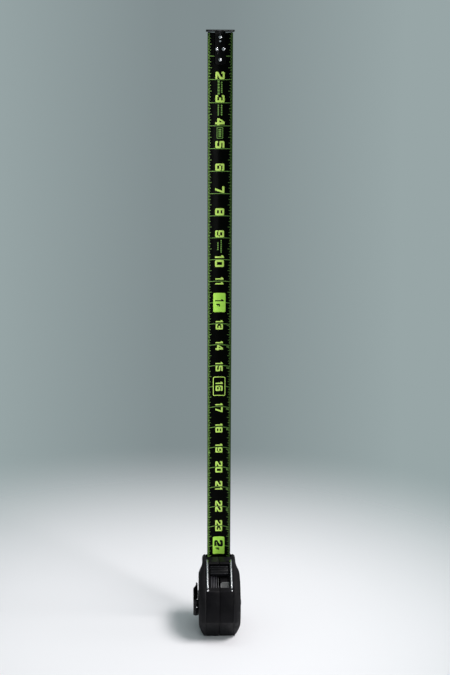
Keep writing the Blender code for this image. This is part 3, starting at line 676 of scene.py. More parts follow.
def grained(name):
    """A finish from the table, with its grain and the wear of its edges."""
    values = dict(FINISHES[name])
    scale, detail, depth, strength = values.pop("grain")
    stretch = values.pop("stretch", (1.0, 1.0, 1.0))
    wear = values.pop("wear", None)
    made, shader = finish_of(name, **values)
    roughen(made, shader, noise(made.node_tree, scale, detail, stretch), depth, strength)
    if wear:
        wear_edges(made, shader, *wear)
    return made


def moulded_plastic():
    """Black ABS with a fine spark-eroded texture."""
    made, shader = finish_of("moulded_plastic", (9, 9, 11), (15, 14, 17), (0.36, 0.5), 90.0, specular=0.08)
    tree = made.node_tree
    sparks = {0: noise(tree, 2600.0, 2.0), 1: cells(tree, 1900.0)}
    height = add(tree, "Math", sparks, operation="ADD").outputs["Value"]
    roughen(made, shader, height, 0.000035, 0.5)
    wear_edges(made, shader, (52, 51, 56), 0.4)
    return made


def grip_rubber():
    """Soft black rubber with a pebbled skin and a dusty bloom."""
    made, shader = finish_of("grip_rubber", (13, 13, 14), (23, 22, 25), (0.5, 0.68), 60.0, specular=0.12)
    pebbles = between(made.node_tree, cells(made.node_tree, 1300.0), 0.0, 1.0, 0.0, 0.7)
    roughen(made, shader, pebbles, 0.00012, 0.6)
    wear_edges(made, shader, (56, 55, 58), 0.5)
    return made


def badge_metal():
    """Anodised disc, spun so that fine rings show."""
    made, shader = finish_of("badge_metal", (58, 60, 64), (78, 80, 84), (0.28, 0.36), 80.0, metallic=0.8)
    tree = made.node_tree
    coordinates = add(tree, "TexCoord").outputs["Object"]
    centre = (0.0, (FLANK_CENTRE[0] + SEAM_Y) * MM, FLANK_CENTRE[1] * MM)
    flat = add(tree, "VectorMath", {0: coordinates, 1: (0.0, 1.0, 1.0)}, operation="MULTIPLY")
    away = add(tree, "VectorMath", {0: flat.outputs["Vector"], 1: centre}, operation="DISTANCE")
    turns = {0: away.outputs["Value"], 1: BADGE_RINGS}
    rings = add(tree, "Math", turns, operation="MULTIPLY")
    wave = add(tree, "Math", {0: rings.outputs["Value"]}, operation="SINE")
    roughen(made, shader, wave.outputs["Value"], 0.00002, 0.4)
    return made


# ---- case halves


def case_half(side, finish):
    """One moulded half: a shell with a rounded seam edge and a step that the rubber grip wraps."""
    s = SIDES[side]
    rings = [
        ring_at(s * CASE_HALF_WIDTH, inner_outline(STEP_DEPTH + BAND_ROUND)),
        ring_at(s * (CASE_HALF_WIDTH - BAND_ROUND), inner_outline(STEP_DEPTH)),
        ring_at(s * BAND_HALF_WIDTH, inner_outline(STEP_DEPTH)),
    ]
    for x, depth in arc((BAND_HALF_WIDTH - BAND_ROUND, BAND_ROUND), BAND_ROUND, 0.0, -90.0, 4):
        rings.append(ring_at(s * x, inner_outline(depth)))
    for x, depth in arc((HALF_SEAM + SEAM_ROUND, SEAM_ROUND), SEAM_ROUND, -90.0, -180.0, 4):
        rings.append(ring_at(s * x, inner_outline(depth)))
    rings.append(ring_at(s * HALF_SEAM, inner_outline(WALL)))
    rings.append(ring_at(s * CAVITY_HALF_WIDTH, inner_outline(WALL)))
    half = make_object(f"case_shell_{side}", loft(rings), finish)
    across = (s * 2 * HALF_SEAM, s * (TRACK_HALF_WIDTH + TRAY_RIM))
    combine(half, "UNION", [slope_block(*across, TRAY_START, TRAY_END, -TRAY_FLOOR, -STEP_DEPTH)])
    combine(half, "DIFFERENCE", case_cutters(side))
    return belong(half, "case", [f"case_{side}"])


def case_cutters(side):
    """What is cut from a case half: mouth, track, slot, sockets of the rod and pin, and screw holes."""
    s = SIDES[side]
    x = s * ROD_X
    outside = CASE_HALF_WIDTH + 3.0
    mouth_low = (-MOUTH_HALF_WIDTH, MOUTH_FRONT, CASE_LENGTH - 8.0)
    mouth_high = (MOUTH_HALF_WIDTH, MOUTH_BACK, CASE_LENGTH + 5.0)
    cutters = [
        block(mouth_low, mouth_high),
        slope_block(-TRACK_HALF_WIDTH, TRACK_HALF_WIDTH, TRACK_START, TRACK_END, -TRACK_DEPTH, 6.0),
        slope_block(-SLOT_HALF_WIDTH, SLOT_HALF_WIDTH, SLOT_START, SLOT_END, -9.0, -2.0),
        cylinder(ROD_RADIUS + GAP, (x, ROD_TOP_Y, CASE_LENGTH - 6.0), (x, ROD_TOP_Y, CASE_LENGTH + 3.0)),
        cylinder(ROD_RADIUS + GAP, (x, *on_slope(ROD_END_T, -8.0)), (x, *on_slope(ROD_END_T, 4.0))),
        cylinder(PIN_RADIUS - 0.1, (x, *on_slope(PIN_T, -3.2)), (x, *on_slope(PIN_T, 4.0))),
    ]
    if side == "left":
        cutters += track_grooves()
    cutters += track_recesses(side)
    for y, z in SCREW_PLACES:
        cutters.append(cylinder(SCREW_SHANK + GAP, (s * 14.0, y, z), (s * outside, y, z), 16))
    if side == "right":
        hole = (CAVITY_HALF_WIDTH - 1.0, *SPOOL_CENTRE), (outside, *SPOOL_CENTRE)
    else:
        hole = (1.0 - CAVITY_HALF_WIDTH, *CLIP_SCREW), (-outside, *CLIP_SCREW)
    cutters.append(cylinder(SCREW_HOLE, *hole, 16))
    return cutters


def track_recesses(side):
    """A gap at the track's end, a groove beside the lip and, on the right, a deep pocket."""
    s = SIDES[side]
    inner, outer = LIP_GROOVE
    top = CUT_OVER - TRACK_DEPTH
    cutters = [
        slope_block(-TRACK_HALF_WIDTH, TRACK_HALF_WIDTH, *TRACK_GAP, -TRAY_FLOOR + 0.4, top),
        slope_block(s * inner, s * outer, -8.0, TRACK_START + 0.5, -0.9, 4.0),
    ]
    if side == "right":
        cutters.append(slope_block(*POCKET, -TRAY_FLOOR + 0.3, top))
    return cutters


def track_grooves():
    """Grooves along the left of the track's floor, which leave fine ribs between them."""
    cutters = []
    for i in range(RIB_ROWS + 1):
        x = -(FIRST_GROOVE_X + GROOVE_PITCH * i)
        across = (x - GROOVE_WIDTH / 2, x + GROOVE_WIDTH / 2)
        levels = (-TRACK_DEPTH - GROOVE_DEPTH, CUT_OVER - TRACK_DEPTH)
        cutters.append(slope_block(*across, GROOVE_START, TRACK_GAP[0], *levels))
    return cutters


def along_track(profile, stations):
    """A bar on the track's floor. Its profile holds (x, height over the floor)."""
    return loft([[(x, *on_slope(t, n - TRACK_DEPTH)) for x, n in profile] for t in stations])


def track_ribs(finish):
    """Slide ribs on the left of the track's floor, in plastic paler than the case's."""
    body = bmesh.new()
    half = (GROOVE_PITCH - GROOVE_WIDTH) / 2
    for i in range(RIB_ROWS):
        x = -(FIRST_GROOVE_X + GROOVE_PITCH * (i + 0.5))
        profile = [(x + share * half, n) for share, n in RIB_PROFILE]
        merge(body, along_track(profile, (GROOVE_START, TRACK_END - 1.6)))
    ribs = make_object("track_ribs", body, finish)
    round_edges(ribs, FINE_ROUND)
    return belong(ribs, "case")


def merge(body, added):
    """Moves one body into another."""
    placed = {vert: body.verts.new(vert.co) for vert in added.verts}
    for face in added.faces:
        body.faces.new([placed[vert] for vert in face.verts])
    added.free()


def track_plate(finish):
    """Pale inlay on the right of the track's floor, with one corner cut off."""
    left, right = PLATE_ACROSS
    top, low = PLATE_ALONG
    corners = [(left, low), (right, low), (right, top)]
    corners += [(left + PLATE_CUT[0], top), (left, top + PLATE_CUT[1])]
    face = PLATE_RISE - TRACK_DEPTH
    rings = [[(x, *on_slope(t, n)) for x, t in corners] for n in (-TRACK_DEPTH - 0.5, face)]
    plate = make_object("track_plate", loft(rings), finish)
    lines = []
    for i in range(PLATE_LINES):
        t = top + 2.2 + i * PLATE_LINE_PITCH
        lines.append(slope_block(left + 1.0, right - 0.8, t - 0.25, t + 0.25, face - 0.15, face + CUT_OVER))
    combine(plate, "DIFFERENCE", lines)
    round_edges(plate, FINE_ROUND)
    return belong(plate, "case")


def track_rail(finish):
    """Raised rail beside the slot in the track's floor."""
    profile = [(x - SLOT_HALF_WIDTH, n) for x, n in RAIL_PROFILE]
    rail = make_object("track_rail", along_track(profile, RAIL_STATIONS), finish)
    round_edges(rail, 0.05)
    return belong(rail, "case")


# ---- grips


def smooth_share(value):
    """A share from 0 to 1 that starts and ends smoothly."""
    share = min(max(value, 0.0), 1.0)
    return share * share * (3.0 - 2.0 * share)


def grip_relief(radius, edge, degrees):
    """How far the moulded pattern sinks the grip's skin: a ring groove, and ribs outside it."""
    ring = max(0.0, 1.0 - ((radius - RING_RADIUS) / RING_HALF) ** 2)
    start = smooth_share((radius - RING_RADIUS - FLUTE_MARGIN) / FLUTE_FADES[0])
    end = smooth_share((min(edge, FLUTE_END) - FLUTE_MARGIN - radius) / FLUTE_FADES[1])
    wave = 0.5 - 0.5 * math.cos(math.radians(degrees) * FLUTE_COUNT)
    return RING_SINK * ring + FLUTE_SINK * start * end * wave


def nose_rounding(radius, edge):
    """Half width near the outline's edge beside the nose, where the grip is rounded off."""
    inward = min((edge - radius) / NOSE_EDGE_ROUND, 1.0)
    rise = NOSE_HALF_WIDTH - GRIP_EDGE_HALF_WIDTH
    return GRIP_EDGE_HALF_WIDTH + rise * math.sqrt(max(1.0 - (1.0 - inward) ** 2, 0.0))


def grip_half_width(radius, edge):
    """Half width at a radius from the flank's centre, on a ray that meets the outline at edge."""
    across = min(max((radius - FLANK_FLAT_RADIUS) / (edge - FLANK_FLAT_RADIUS), 0.0), 1.0)
    rise = FLANK_HALF_WIDTH - GRIP_EDGE_HALF_WIDTH
    crown = GRIP_EDGE_HALF_WIDTH + rise * math.sqrt(max(1.0 - across * across, 0.0))
    taper = smooth_share((radius - FLANK_FLAT_RADIUS) / (NOSE_BLEND_RADIUS - FLANK_FLAT_RADIUS))
    nose = FLANK_HALF_WIDTH - (FLANK_HALF_WIDTH - NOSE_HALF_WIDTH) * taper
    if radius > edge - NOSE_EDGE_ROUND:
        nose = min(nose, nose_rounding(radius, edge))
    share = smooth_share((edge - CROWN_RADIUS - NOSE_SHARE[0]) / NOSE_SHARE[1])
    return crown + (nose - crown) * share


def rear_limit(half_width, z):
    """The flank slants in towards the rear end, with a soft crease where the slant starts."""
    slant = REAR_HALF_WIDTH + (FLANK_HALF_WIDTH - REAR_HALF_WIDTH) * z / REAR_TAPER_TOP
    mix = min(max(0.5 + (slant - half_width) / (2 * REAR_TAPER_BLEND), 0.0), 1.0)
    return slant + (half_width - slant) * mix - REAR_TAPER_BLEND * mix * (1.0 - mix)


def grip_ring(side, outline, share):
    """A ring of the grip's outer skin, from share 0 at the outline to 1 at the flat of the flank."""
    ring = []
    for y, z in outline:
        ray = Vector((y - FLANK_CENTRE[0], z - FLANK_CENTRE[1]))
        edge = ray.length
        radius = edge + (FLANK_FLAT_RADIUS - edge) * share
        point = Vector(FLANK_CENTRE) + ray.normalized() * radius
        degrees = math.degrees(math.atan2(ray.y, ray.x))
        sunk = grip_relief(radius, edge, degrees)
        half_width = rear_limit(grip_half_width(radius, edge) - sunk, point.y)
        ring.append((side * half_width, point.x, point.y))
    return ring


def flank_ring(side, radius, outline):
    """A ring of the flank's flat, which slants in towards the rear end."""
    ring = flank_circle(side, 0.0, radius, outline)
    return [(side * rear_limit(FLANK_HALF_WIDTH, z), y, z) for _, y, z in ring]


def flank_circle(side, x, radius, outline):
    """A circle about the flank's centre, with a point for each one of the outline."""
    ring = []
    for y, z in outline:
        ray = Vector((y - FLANK_CENTRE[0], z - FLANK_CENTRE[1])).normalized() * radius
        ring.append((side * x, FLANK_CENTRE[0] + ray.x, FLANK_CENTRE[1] + ray.y))
    return ring


def grip(side, finish):
    """Rubber overmould: a domed skin with a ring groove and ribs, and a lip that wraps the case half."""
    s = SIDES[side]
    outline = case_outline()
    rings = [
        ring_at(s * (CASE_HALF_WIDTH + GAP), inner_outline(GRIP_LIP)),
        ring_at(s * (BAND_HALF_WIDTH + GAP), inner_outline(GRIP_LIP)),
        ring_at(s * (BAND_HALF_WIDTH + GAP), inner_outline(GAP)),
    ]
    rings += [grip_ring(s, outline, share) for share in SKIN_SHARES]
    rings += [flank_ring(s, radius, outline) for radius in FLANK_RADII]
    rings.append(flank_circle(s, FLANK_HALF_WIDTH, BADGE_RADIUS + GAP + 0.3, outline))
    if side == "right":
        rings.append(flank_circle(s, FLANK_HALF_WIDTH - 0.3, BADGE_RADIUS + GAP, outline))
        rings.append(flank_circle(s, FLANK_HALF_WIDTH - BADGE_DEPTH, BADGE_RADIUS + GAP, outline))
    rubber = make_object(f"grip_skin_{side}", loft(rings), finish)
    low = s * (CASE_HALF_WIDTH - 1.0)
    high = s * (FLANK_HALF_WIDTH + 2.0)
    if side == "right":
        cutters = [cylinder(SCREW_HEAD + 0.5, (low, y, z), (high, y, z)) for y, z in SCREW_PLACES]
        cutters.append(cylinder(SCREW_HOLE, (low, *SPOOL_CENTRE), (high, *SPOOL_CENTRE), 16))
    else:
        cutters = [cylinder(SCREW_HOLE, (low, *CLIP_SCREW), (high, *CLIP_SCREW), 16)]
    combine(rubber, "DIFFERENCE", cutters)
    return belong(rubber, "case", [f"grip_{side}"])


def side_badge(finish):
    """Blank round badge with two raised rings."""
    low = FLANK_HALF_WIDTH - BADGE_DEPTH + GAP
    profile = [(BADGE_RADIUS - inward, height) for inward, height in BADGE_PROFILE]
    disc = make_object("badge_disc", turned(profile, (low, *FLANK_CENTRE), (1.0, 0.0, 0.0), 96), finish)
    hole = cylinder(SCREW_HOLE, (low - 2.0, *SPOOL_CENTRE), (low + 4.0, *SPOOL_CENTRE))
    combine(disc, "DIFFERENCE", [hole])
    return belong(disc, "case", ["side_badge"])


# ---- fasteners and rods


def cross_slot(at, axis, head, top):
    """Two crossed blocks for a screw's drive, along the X axis."""
    x_low, x_high = sorted((at[0] + axis * (top - DRIVE_DEPTH), at[0] + axis * (top + 2.0)))
    blocks = []
    for half_y, half_z in ((head / 2, DRIVE_HALF), (DRIVE_HALF, head / 2)):
        low = (x_low, at[1] - half_y, at[2] - half_z)
        high = (x_high, at[1] + half_y, at[2] + half_z)
        blocks.append(block(low, high))
    return blocks


def domed(radius, base, height, steps=6):
    """Profile points of a dome from its rim inwards."""
    return [(r * radius, base + h * height) for r, h in arc((0.0, 0.0), 1.0, 0.0, 88.0, steps)]


def screw(name, node, at, axis, reach, head, rim, finish):
    """A screw along X with a domed head and a cross drive; rim is the height of the head's edge."""
    profile = [(SCREW_SHANK, -reach), (SCREW_SHANK, 0.0), (head, 0.0), (head, rim)]
    body = turned(profile + domed(head, rim, SCREW_DOME), at, (axis, 0.0, 0.0), 40)
    made = make_object(name, body, finish)
    combine(made, "DIFFERENCE", cross_slot(at, axis, head, rim + SCREW_DOME))
    return belong(made, "case", [node])


def screws(black):
    """The four screws of the case, the centre post's screw and the clip's screw."""
    for number, (y, z) in enumerate(SCREW_PLACES, 1):
        seat = (CASE_HALF_WIDTH + GAP, y, z)
        names = (f"screw_{number}", f"case_screw_{number}")
        screw(*names, seat, 1.0, 24.0, SCREW_HEAD, 0.7, black)
    seat = (FLANK_HALF_WIDTH + GAP, *SPOOL_CENTRE)
    screw("post_screw_head", "post_screw", seat, 1.0, 17.0, POST_HEAD, 1.0, black)
    seat_x = CLIP_INNER_X - CLIP_THICKNESS / 2 - GAP
    reach = -seat_x - CAVITY_HALF_WIDTH - GAP
    seat = (seat_x, *CLIP_SCREW)
    screw("clip_screw_head", "clip_screw", seat, -1.0, reach, CLIP_SCREW_HEAD, 0.6, black)


def guard_rod(side, finish):
    """Bent steel rod: one leg in the lip, along the nose slope, and one leg in the crown."""
    lip_height = CASE_LENGTH + ROD_RISE
    out = slope_direction()[1]
    slope_angle = math.degrees(math.atan2(out.y, out.x))
    path = [(ROD_TOP_Y, CASE_LENGTH - 4.0)]
    path += arc((ROD_TOP_Y - ROD_BEND, lip_height - ROD_BEND), ROD_BEND, 0.0, 90.0, 9)
    path += arc(on_slope(1.6, ROD_RISE - NOSE_BEND), NOSE_BEND, 92.0, slope_angle, 6)
    path += [on_slope(10.0, ROD_RISE + 0.25), on_slope(12.0, ROD_RISE + ROD_BOW)]
    path += [on_slope(t, ROD_RISE + ROD_BOW) for t in (13.0, 20.0, 30.0)]
    low_bend = on_slope(ROD_END_T - ROD_BEND, ROD_RISE - ROD_BEND)
    path += arc(low_bend, ROD_BEND, slope_angle, slope_angle + 90.0, 9)
    path.append(on_slope(ROD_END_T, -4.0))
    rod = settle(make_object(f"rod_{side}", tube(path, ROD_RADIUS, SIDES[side] * ROD_X), finish))
    return belong(rod, "case", [f"guard_rod_{side}"])


def rod_pin(side, finish):
    """Round pin with a domed head, just below the rod."""
    profile = [(0.9, -2.6), (0.9, GAP), (PIN_RADIUS, GAP), (PIN_RADIUS, 0.6)]
    profile += domed(PIN_RADIUS, 0.6, 1.0, 8)[1:]
    at = (SIDES[side] * ROD_X, *on_slope(PIN_T, 0.0))
    pin = settle(make_object(f"pin_{side}", turned(profile, at, (0.0, *slope_direction()[1]), 32), finish))
    return belong(pin, "case", [f"rod_pin_{side}"])


# ---- blade


def blade_point(across, height, offset):
    """A point of the blade: across is measured along its width, offset out of its convex face."""
    share = smooth_share((height - CUP_START) / (CUP_END - CUP_START))
    middle = BLADE_Y_FLAT + (BLADE_Y_CUPPED - BLADE_Y_FLAT) * share
    bend = max(share, 0.001) / CUP_RADIUS
    angle = across * bend
    x = math.sin(angle) / bend + offset * math.sin(angle)
    y = middle - (1.0 - math.cos(angle)) / bend + offset * math.cos(angle)
    return (x, y, height)


def cupped_strip(stations, heights, front, back, width_of):
    """A strip that follows the blade's cup, between two offsets from its middle."""
    rings = []
    for height in heights:
        scale = width_of(height)
        near = [blade_point(u * scale, height, front) for u in stations]
        far = [blade_point(u * scale, height, back) for u in reversed(stations)]
        rings.append(near + far)
    return loft(rings)


def rivet_axis(across):
    """The direction out of the blade's hollow face, at a place across it."""
    angle = across / CUP_RADIUS
    return Vector((-math.sin(angle), -math.cos(angle), 0.0))


def even(start, end, count):
    """Numbers from start to end in equal steps."""
    return [start + (end - start) * i / count for i in range(count + 1)]


def shrink_with_slide(obj):
    """Attaches a piece of the drawn blade to the case, and gives it a mesh of its own."""
    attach(obj, "case")
    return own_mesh(obj)


def end_share(into, radius, half_width):
    """The share of its width that a strip keeps, a length into its rounded end."""
    depth = max(0.0, into) / radius
    return 1.0 - (1.0 - math.sqrt(max(0.0, 1.0 - depth * depth))) * radius / half_width


def blade(finish):
    """The drawn blade: flat near the drum, cupped before it leaves the mouth, with rounded end corners."""
    straight = BLADE_TOP - BLADE_CORNER
    stations = even(-BLADE_WIDTH / 2, BLADE_WIDTH / 2, 40)
    heights = even(BLADE_FOOT, CUP_END, 14)[:-1] + even(CUP_END, straight, 96)
    heights += [straight + BLADE_CORNER * math.sin(math.radians(a)) for a in (22.5, 45.0, 67.5, 90.0)]
    half = BLADE_THICKNESS / 2

    def width_of(height):
        return end_share(height - straight, BLADE_CORNER, BLADE_WIDTH / 2)

    tape = make_object("blade_tape", cupped_strip(stations, heights, -half, half, width_of), finish)
    middle = Vector(blade_point(0.0, BLADE_TOP - NAIL_HOLE_DROP, 0.0))
    reach = rivet_axis(0.0) * 2.0
    combine(tape, "DIFFERENCE", [cylinder(NAIL_HOLE_RADIUS, middle - reach, middle + reach)])
    shrink_with_slide(tape)
    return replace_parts(tape, "blade")


# ---- print on the blade
# A print shape is drawn in the plane, as outlines of (along, across) points: along runs down the blade
# from its end, across runs towards +X. Figures read down the blade.


def inside(point, outline):
    """Whether a point lies inside an outline."""
    found = False
    for (ax, ay), (bx, by) in sides_of(outline):
        if (ay > point[1]) != (by > point[1]) and point[0] < (bx - ax) * (point[1] - ay) / (by - ay) + ax:
            found = not found
    return found


def divided(outline, step):
    """The outline with points at most step apart."""
    dense = []
    for start, end in sides_of(outline):
        a = Vector(start)
        b = Vector(end)
        count = max(1, math.ceil((b - a).length / step))
        dense += [a.lerp(b, i / count) for i in range(count)]
    return dense


def covers(element, point):
    """Whether an element covers a point."""
    outer, holes = element
    return inside(point, outer) and not any(inside(point, hole) for hole in holes)


def inner_points(elements, step):
    """Points on a grid within the elements, so that wide areas follow the cup."""
    outers = [point for outer, _ in elements for point in outer]
    low = [min(point[k] for point in outers) for k in (0, 1)]
    high = [max(point[k] for point in outers) for k in (0, 1)]
    counts = [int((high[k] - low[k]) / step) for k in (0, 1)]
    points = []
    for i in range(1, counts[0] + 1):
        for j in range(1, counts[1] + 1):
            point = Vector((low[0] + i * step, low[1] + j * step))
            if any(covers(element, point) for element in elements):
                points.append(point)
    return points


def triangles_of(elements, step):
    """Triangles of the area that the elements cover together. An element is an outline and its holes."""
    points = []
    edges = []
    for outer, holes in elements:
        for outline in [outer, *holes]:
            dense = divided(outline, step)
            first = len(points)
            points += dense
            edges += [(first + i, first + (i + 1) % len(dense)) for i in range(len(dense))]
    points += inner_points(elements, step)
    made = delaunay_2d_cdt(points, edges, [], 0, 0.0001, False)
    kept = []
    for face in made[2]:
        middle = sum((made[0][i] for i in face), Vector((0.0, 0.0))) / len(face)
        if any(covers(element, middle) for element in elements):
            kept.append(face)
    return made[0], kept


class Print:
    """Ink in one colour: areas are added to it, and it becomes one piece."""

    def __init__(self, name):
        self.name = name
        self.body = bmesh.new()

    def area(self, elements, step=1.3, lift=0.0):
        """Adds what the elements cover as a thin body that follows the blade's cup."""
        points, faces = triangles_of(elements, step)
        used = sorted({i for face in faces for i in face})
        front = BLADE_THICKNESS / 2 + PRINT_LIFT + lift
        layers = []
        for offset in (front, front + PRINT_THICKNESS):
            layer = {}
            for i in used:
                along, across = points[i]
                layer[i] = self.body.verts.new(blade_point(across, BLADE_TOP - along, -offset))
            layers.append(layer)
        under, over = layers
        count = {}
        for face in faces:
            self.body.faces.new([over[i] for i in face])
            self.body.faces.new([under[i] for i in reversed(face)])
            for a, b in zip(face, face[1:] + face[:1]):
                count[(a, b)] = count.get((a, b), 0) + 1
        for a, b in count:
            if (b, a) not in count:
                self.body.faces.new((over[b], over[a], under[a], under[b]))

    def piece(self, finish):
        bmesh.ops.recalc_face_normals(self.body, faces=self.body.faces)
        made = settle(make_object(self.name, self.body, finish))
        return shrink_with_slide(made)


def box_outline(along, across, length, width, corner=0.0):
    """A rectangle about a middle point, with corners that may be rounded."""
    half = (length / 2, width / 2)
    corners = [(1, 1), (-1, 1), (-1, -1), (1, -1)]
    outline = []
    for k, (sx, sy) in enumerate(corners):
        if corner:
            centre = (along + sx * (half[0] - corner), across + sy * (half[1] - corner))
            outline += arc(centre, corner, 90.0 * k, 90.0 * k + 90.0, 5)
        else:
            outline.append((along + sx * half[0], across + sy * half[1]))
    return outline


def soften(path, radius, closed):
    """Rounds a path's corners, by less where a stretch beside the corner is short."""
    softened = []
    count = len(path)
    for i, here in enumerate(path):
        if not closed and i in (0, count - 1):
            softened.append(here)
            continue
        before = path[i - 1]
        after = path[(i + 1) % count]
        half = (before - here).angle(after - here) / 2
        room = 0.45 * min((before - here).length, (after - here).length) * math.tan(half)
        softened += [Vector(p) for p in fillet(before, here, after, min(radius, room), 4)]
    return softened


def stroke(path, thickness, closed=False):
    """A thick line through a path, as an element: an outline and its holes."""
    path = soften([Vector(p) for p in path], thickness * STROKE_SOFTENING, closed)
    count = len(path)
    sides = ([], [])
    for i, here in enumerate(path):
        before = here - path[i - 1] if closed or i else path[1] - here
        after = path[(i + 1) % count] - here if closed or i < count - 1 else before
        out = mitre(before, after) * thickness / 2
        sides[0].append(tuple(here + out))
        sides[1].append(tuple(here - out))
    if closed:
        outer, inner = sorted(sides, key=area_of, reverse=True)
        return (outer, [inner])
    return (sides[0] + sides[1][::-1], [])


def area_of(outline):
    return abs(sum(a[0] * b[1] - a[1] * b[0] for a, b in sides_of(outline))) / 2


# Figures in a box 1 wide and 1 high, which the middles of the outer strokes run along. LOW and HIGH lie
# about half a stroke further out. A line and a loop are strokes, and an area is filled: its outline, then
# its holes.
LOW = -0.15
HIGH = 1.15
SQUARE = [(0, 0), (1, 0), (1, 1), (0, 1)]
FIGURES = {
    "0": [("loop", SQUARE)],
    "1": [("area", [(0.38, LOW), (0.98, LOW), (0.98, HIGH), (0.5, HIGH), (-0.1, 0.98), (-0.1, 0.7),
                    (0.38, 0.8)])],
    "2": [("line", [(0, 0.7), (0, 1), (1, 1), (1, 0.55), (0, 0.16), (0, 0), (HIGH, 0)])],
    "3": [("line", [(0, 0.76), (0, 1), (1, 1), (1, 0), (0, 0), (0, 0.24)]),
          ("line", [(0.3, 0.52), (1, 0.52)])],
    "4": [("area", [(0.5, HIGH), (0.98, HIGH), (0.98, 0.42), (HIGH, 0.42), (HIGH, 0.13), (0.98, 0.13),
                    (0.98, LOW), (0.6, LOW), (0.6, 0.13), (LOW, 0.13), (LOW, 0.42)],
           [(0.6, 0.86), (0.6, 0.42), (0.2, 0.42)])],
    "5": [("line", [(1.1, 1), (0, 1), (0, 0.57), (1, 0.57), (1, 0), (0, 0), (0, 0.22)])],
    "6": [("line", [(1, 0.78), (1, 1), (0, 1), (0, 0), (1, 0), (1, 0.55), (0, 0.55)])],
    "7": [("area", [(LOW, HIGH), (HIGH, HIGH), (HIGH, 0.92), (0.62, LOW), (0.2, LOW), (0.74, 0.85),
                    (LOW, 0.85)])],
    "8": [("loop", SQUARE), ("line", [(0, 0.52), (1, 0.52)])],
    "9": [("line", [(0, 0.22), (0, 0), (1, 0), (1, 1), (0, 1), (0, 0.45), (1, 0.45)])],
    "F": [("line", [(0, LOW), (0, 1), (HIGH, 1)]), ("line", [(0, 0.48), (0.85, 0.48)])],
}
FIGURE_WIDTH = 0.76  # of the height
ONE_WIDTH = 0.47
STROKE_SHARE = 0.208  # the stroke's thickness, of the height
BOLD_SHARE = 0.275
STROKE_SOFTENING = 0.18  # the radius of a stroke's corners, of its thickness


def figure_width(letter, height):
    return (ONE_WIDTH if letter == "1" else FIGURE_WIDTH) * height


def figure(letter, along, across, height, share=STROKE_SHARE):
    """The elements of one figure whose left low corner is at (along, across)."""
    line = share * height
    width = figure_width(letter, height)

    def place(points):
        low = (along + line / 2, across + line / 2)
        return [(low[0] + x * (width - line), low[1] + y * (height - line)) for x, y in points]

    elements = []
    for kind, outline, *holes in FIGURES[letter]:
        if kind == "area":
            elements.append((place(outline), [place(hole) for hole in holes]))
        else:
            elements.append(stroke(place(outline), line, kind == "loop"))
    return elements


def write(ink_of, text, along, across, height, space=0.1, lift=0.0, share=STROKE_SHARE):
    """Figures that read down the blade from along; across is their low edge. Returns where they end."""
    for letter in text:
        ink_of.area(figure(letter, along, across, height, share), lift=lift)
        along += figure_width(letter, height) + space * height
    return along - space * height


# ---- scale

LAST_INCH = 25
FOOT = 12
TICK_LENGTHS = {1: 2.3, 2: 3.3, 4: 4.3, 8: 5.3}  # by how many sixteenths the mark divides
EDGE_STRIPE = 1.05
STRIPE_INSET = 0.05
TICK_LINE = 0.5
TICK_OVERLAP = 0.4  # of a mark and the edge stripe
MARKS_INTO_MOUTH = 8.0
INCH_LINE = 0.62
BIG_FIGURE = 10.6
MIDDLE_FIGURE = 9.4
SMALL_FIGURE = 8.7
LINE_CLEARANCE = {1: 0.5, 2: 0.75}  # from the first digit to its inch line, by how many digits there are
PAIR_SPACE = 0.13  # of the height
REMAINDER_FIGURE = 2.9
REMAINDER_INSET = 6.6
REMAINDER_SHIFT = 1.0  # below the inch line
REMAINDER_SPACE = 0.12  # of the height
FOOT_FIGURE = 11.0
FOOT_LETTER = 4.9
FOOT_INK_LIFT = 0.08  # over the block that it is printed on
BLOCK_LENGTH = 22.8
BLOCK_WIDTH = 15.0
BLOCK_CORNER = 1.6
BLOCK_SPACE = 1.2
FOOT_LETTER_SHIFT = 1.4
BOXED_INCH = 16
BOXED_LENGTH = 23.6
BOXED_WIDTH = 15.4
BOXED_LINE = 0.9
DIAMOND_PITCH = 19.2 * INCH
DIAMOND_HALF = (1.3, 1.1)
DIAMOND_INSET = 2.6
SMALL_FRAME = (4.31, 12.6, 7.2, 0.6)  # inches from the end; length, width and line in millimetres
DASH_SHARE = 0.72  # of the pitch
DASH_CORNER = 0.2
DASH_ROWS = (  # first and last inch, across, height and how many bars
    (2.08, 2.58, 1.9, 1.5, 6), (2.02, 2.66, -1.6, 2.2, 5), (3.07, 3.56, 1.9, 1.5, 5),
    (3.07, 3.56, -1.9, 1.5, 6), (9.09, 9.7, 1.9, 1.4, 7), (9.2, 9.58, -1.9, 1.4, 4),
    (4.12, 4.5, 0.0, 3.2, 4),
)


def figure_height(inch):
    """Big figures up to 10, a smaller one for 11, and small ones past the first foot."""
    if inch < FOOT - 1:
        return BIG_FIGURE
    return MIDDLE_FIGURE if inch == FOOT - 1 else SMALL_FIGURE


def edge_stripes(green):
    """A green stripe along each edge of the blade."""
    half = BLADE_WIDTH / 2
    end = BLADE_TOP - BLADE_FOOT - 1.0
    for side in (-1, 1):
        across = side * (half - EDGE_STRIPE / 2 - STRIPE_INSET)
        steps = even(1.2, end, 90)
        for start, stop in zip(steps, steps[1:]):
            green.area([(box_outline((start + stop) / 2, across, stop - start, EDGE_STRIPE), [])], step=8.0)


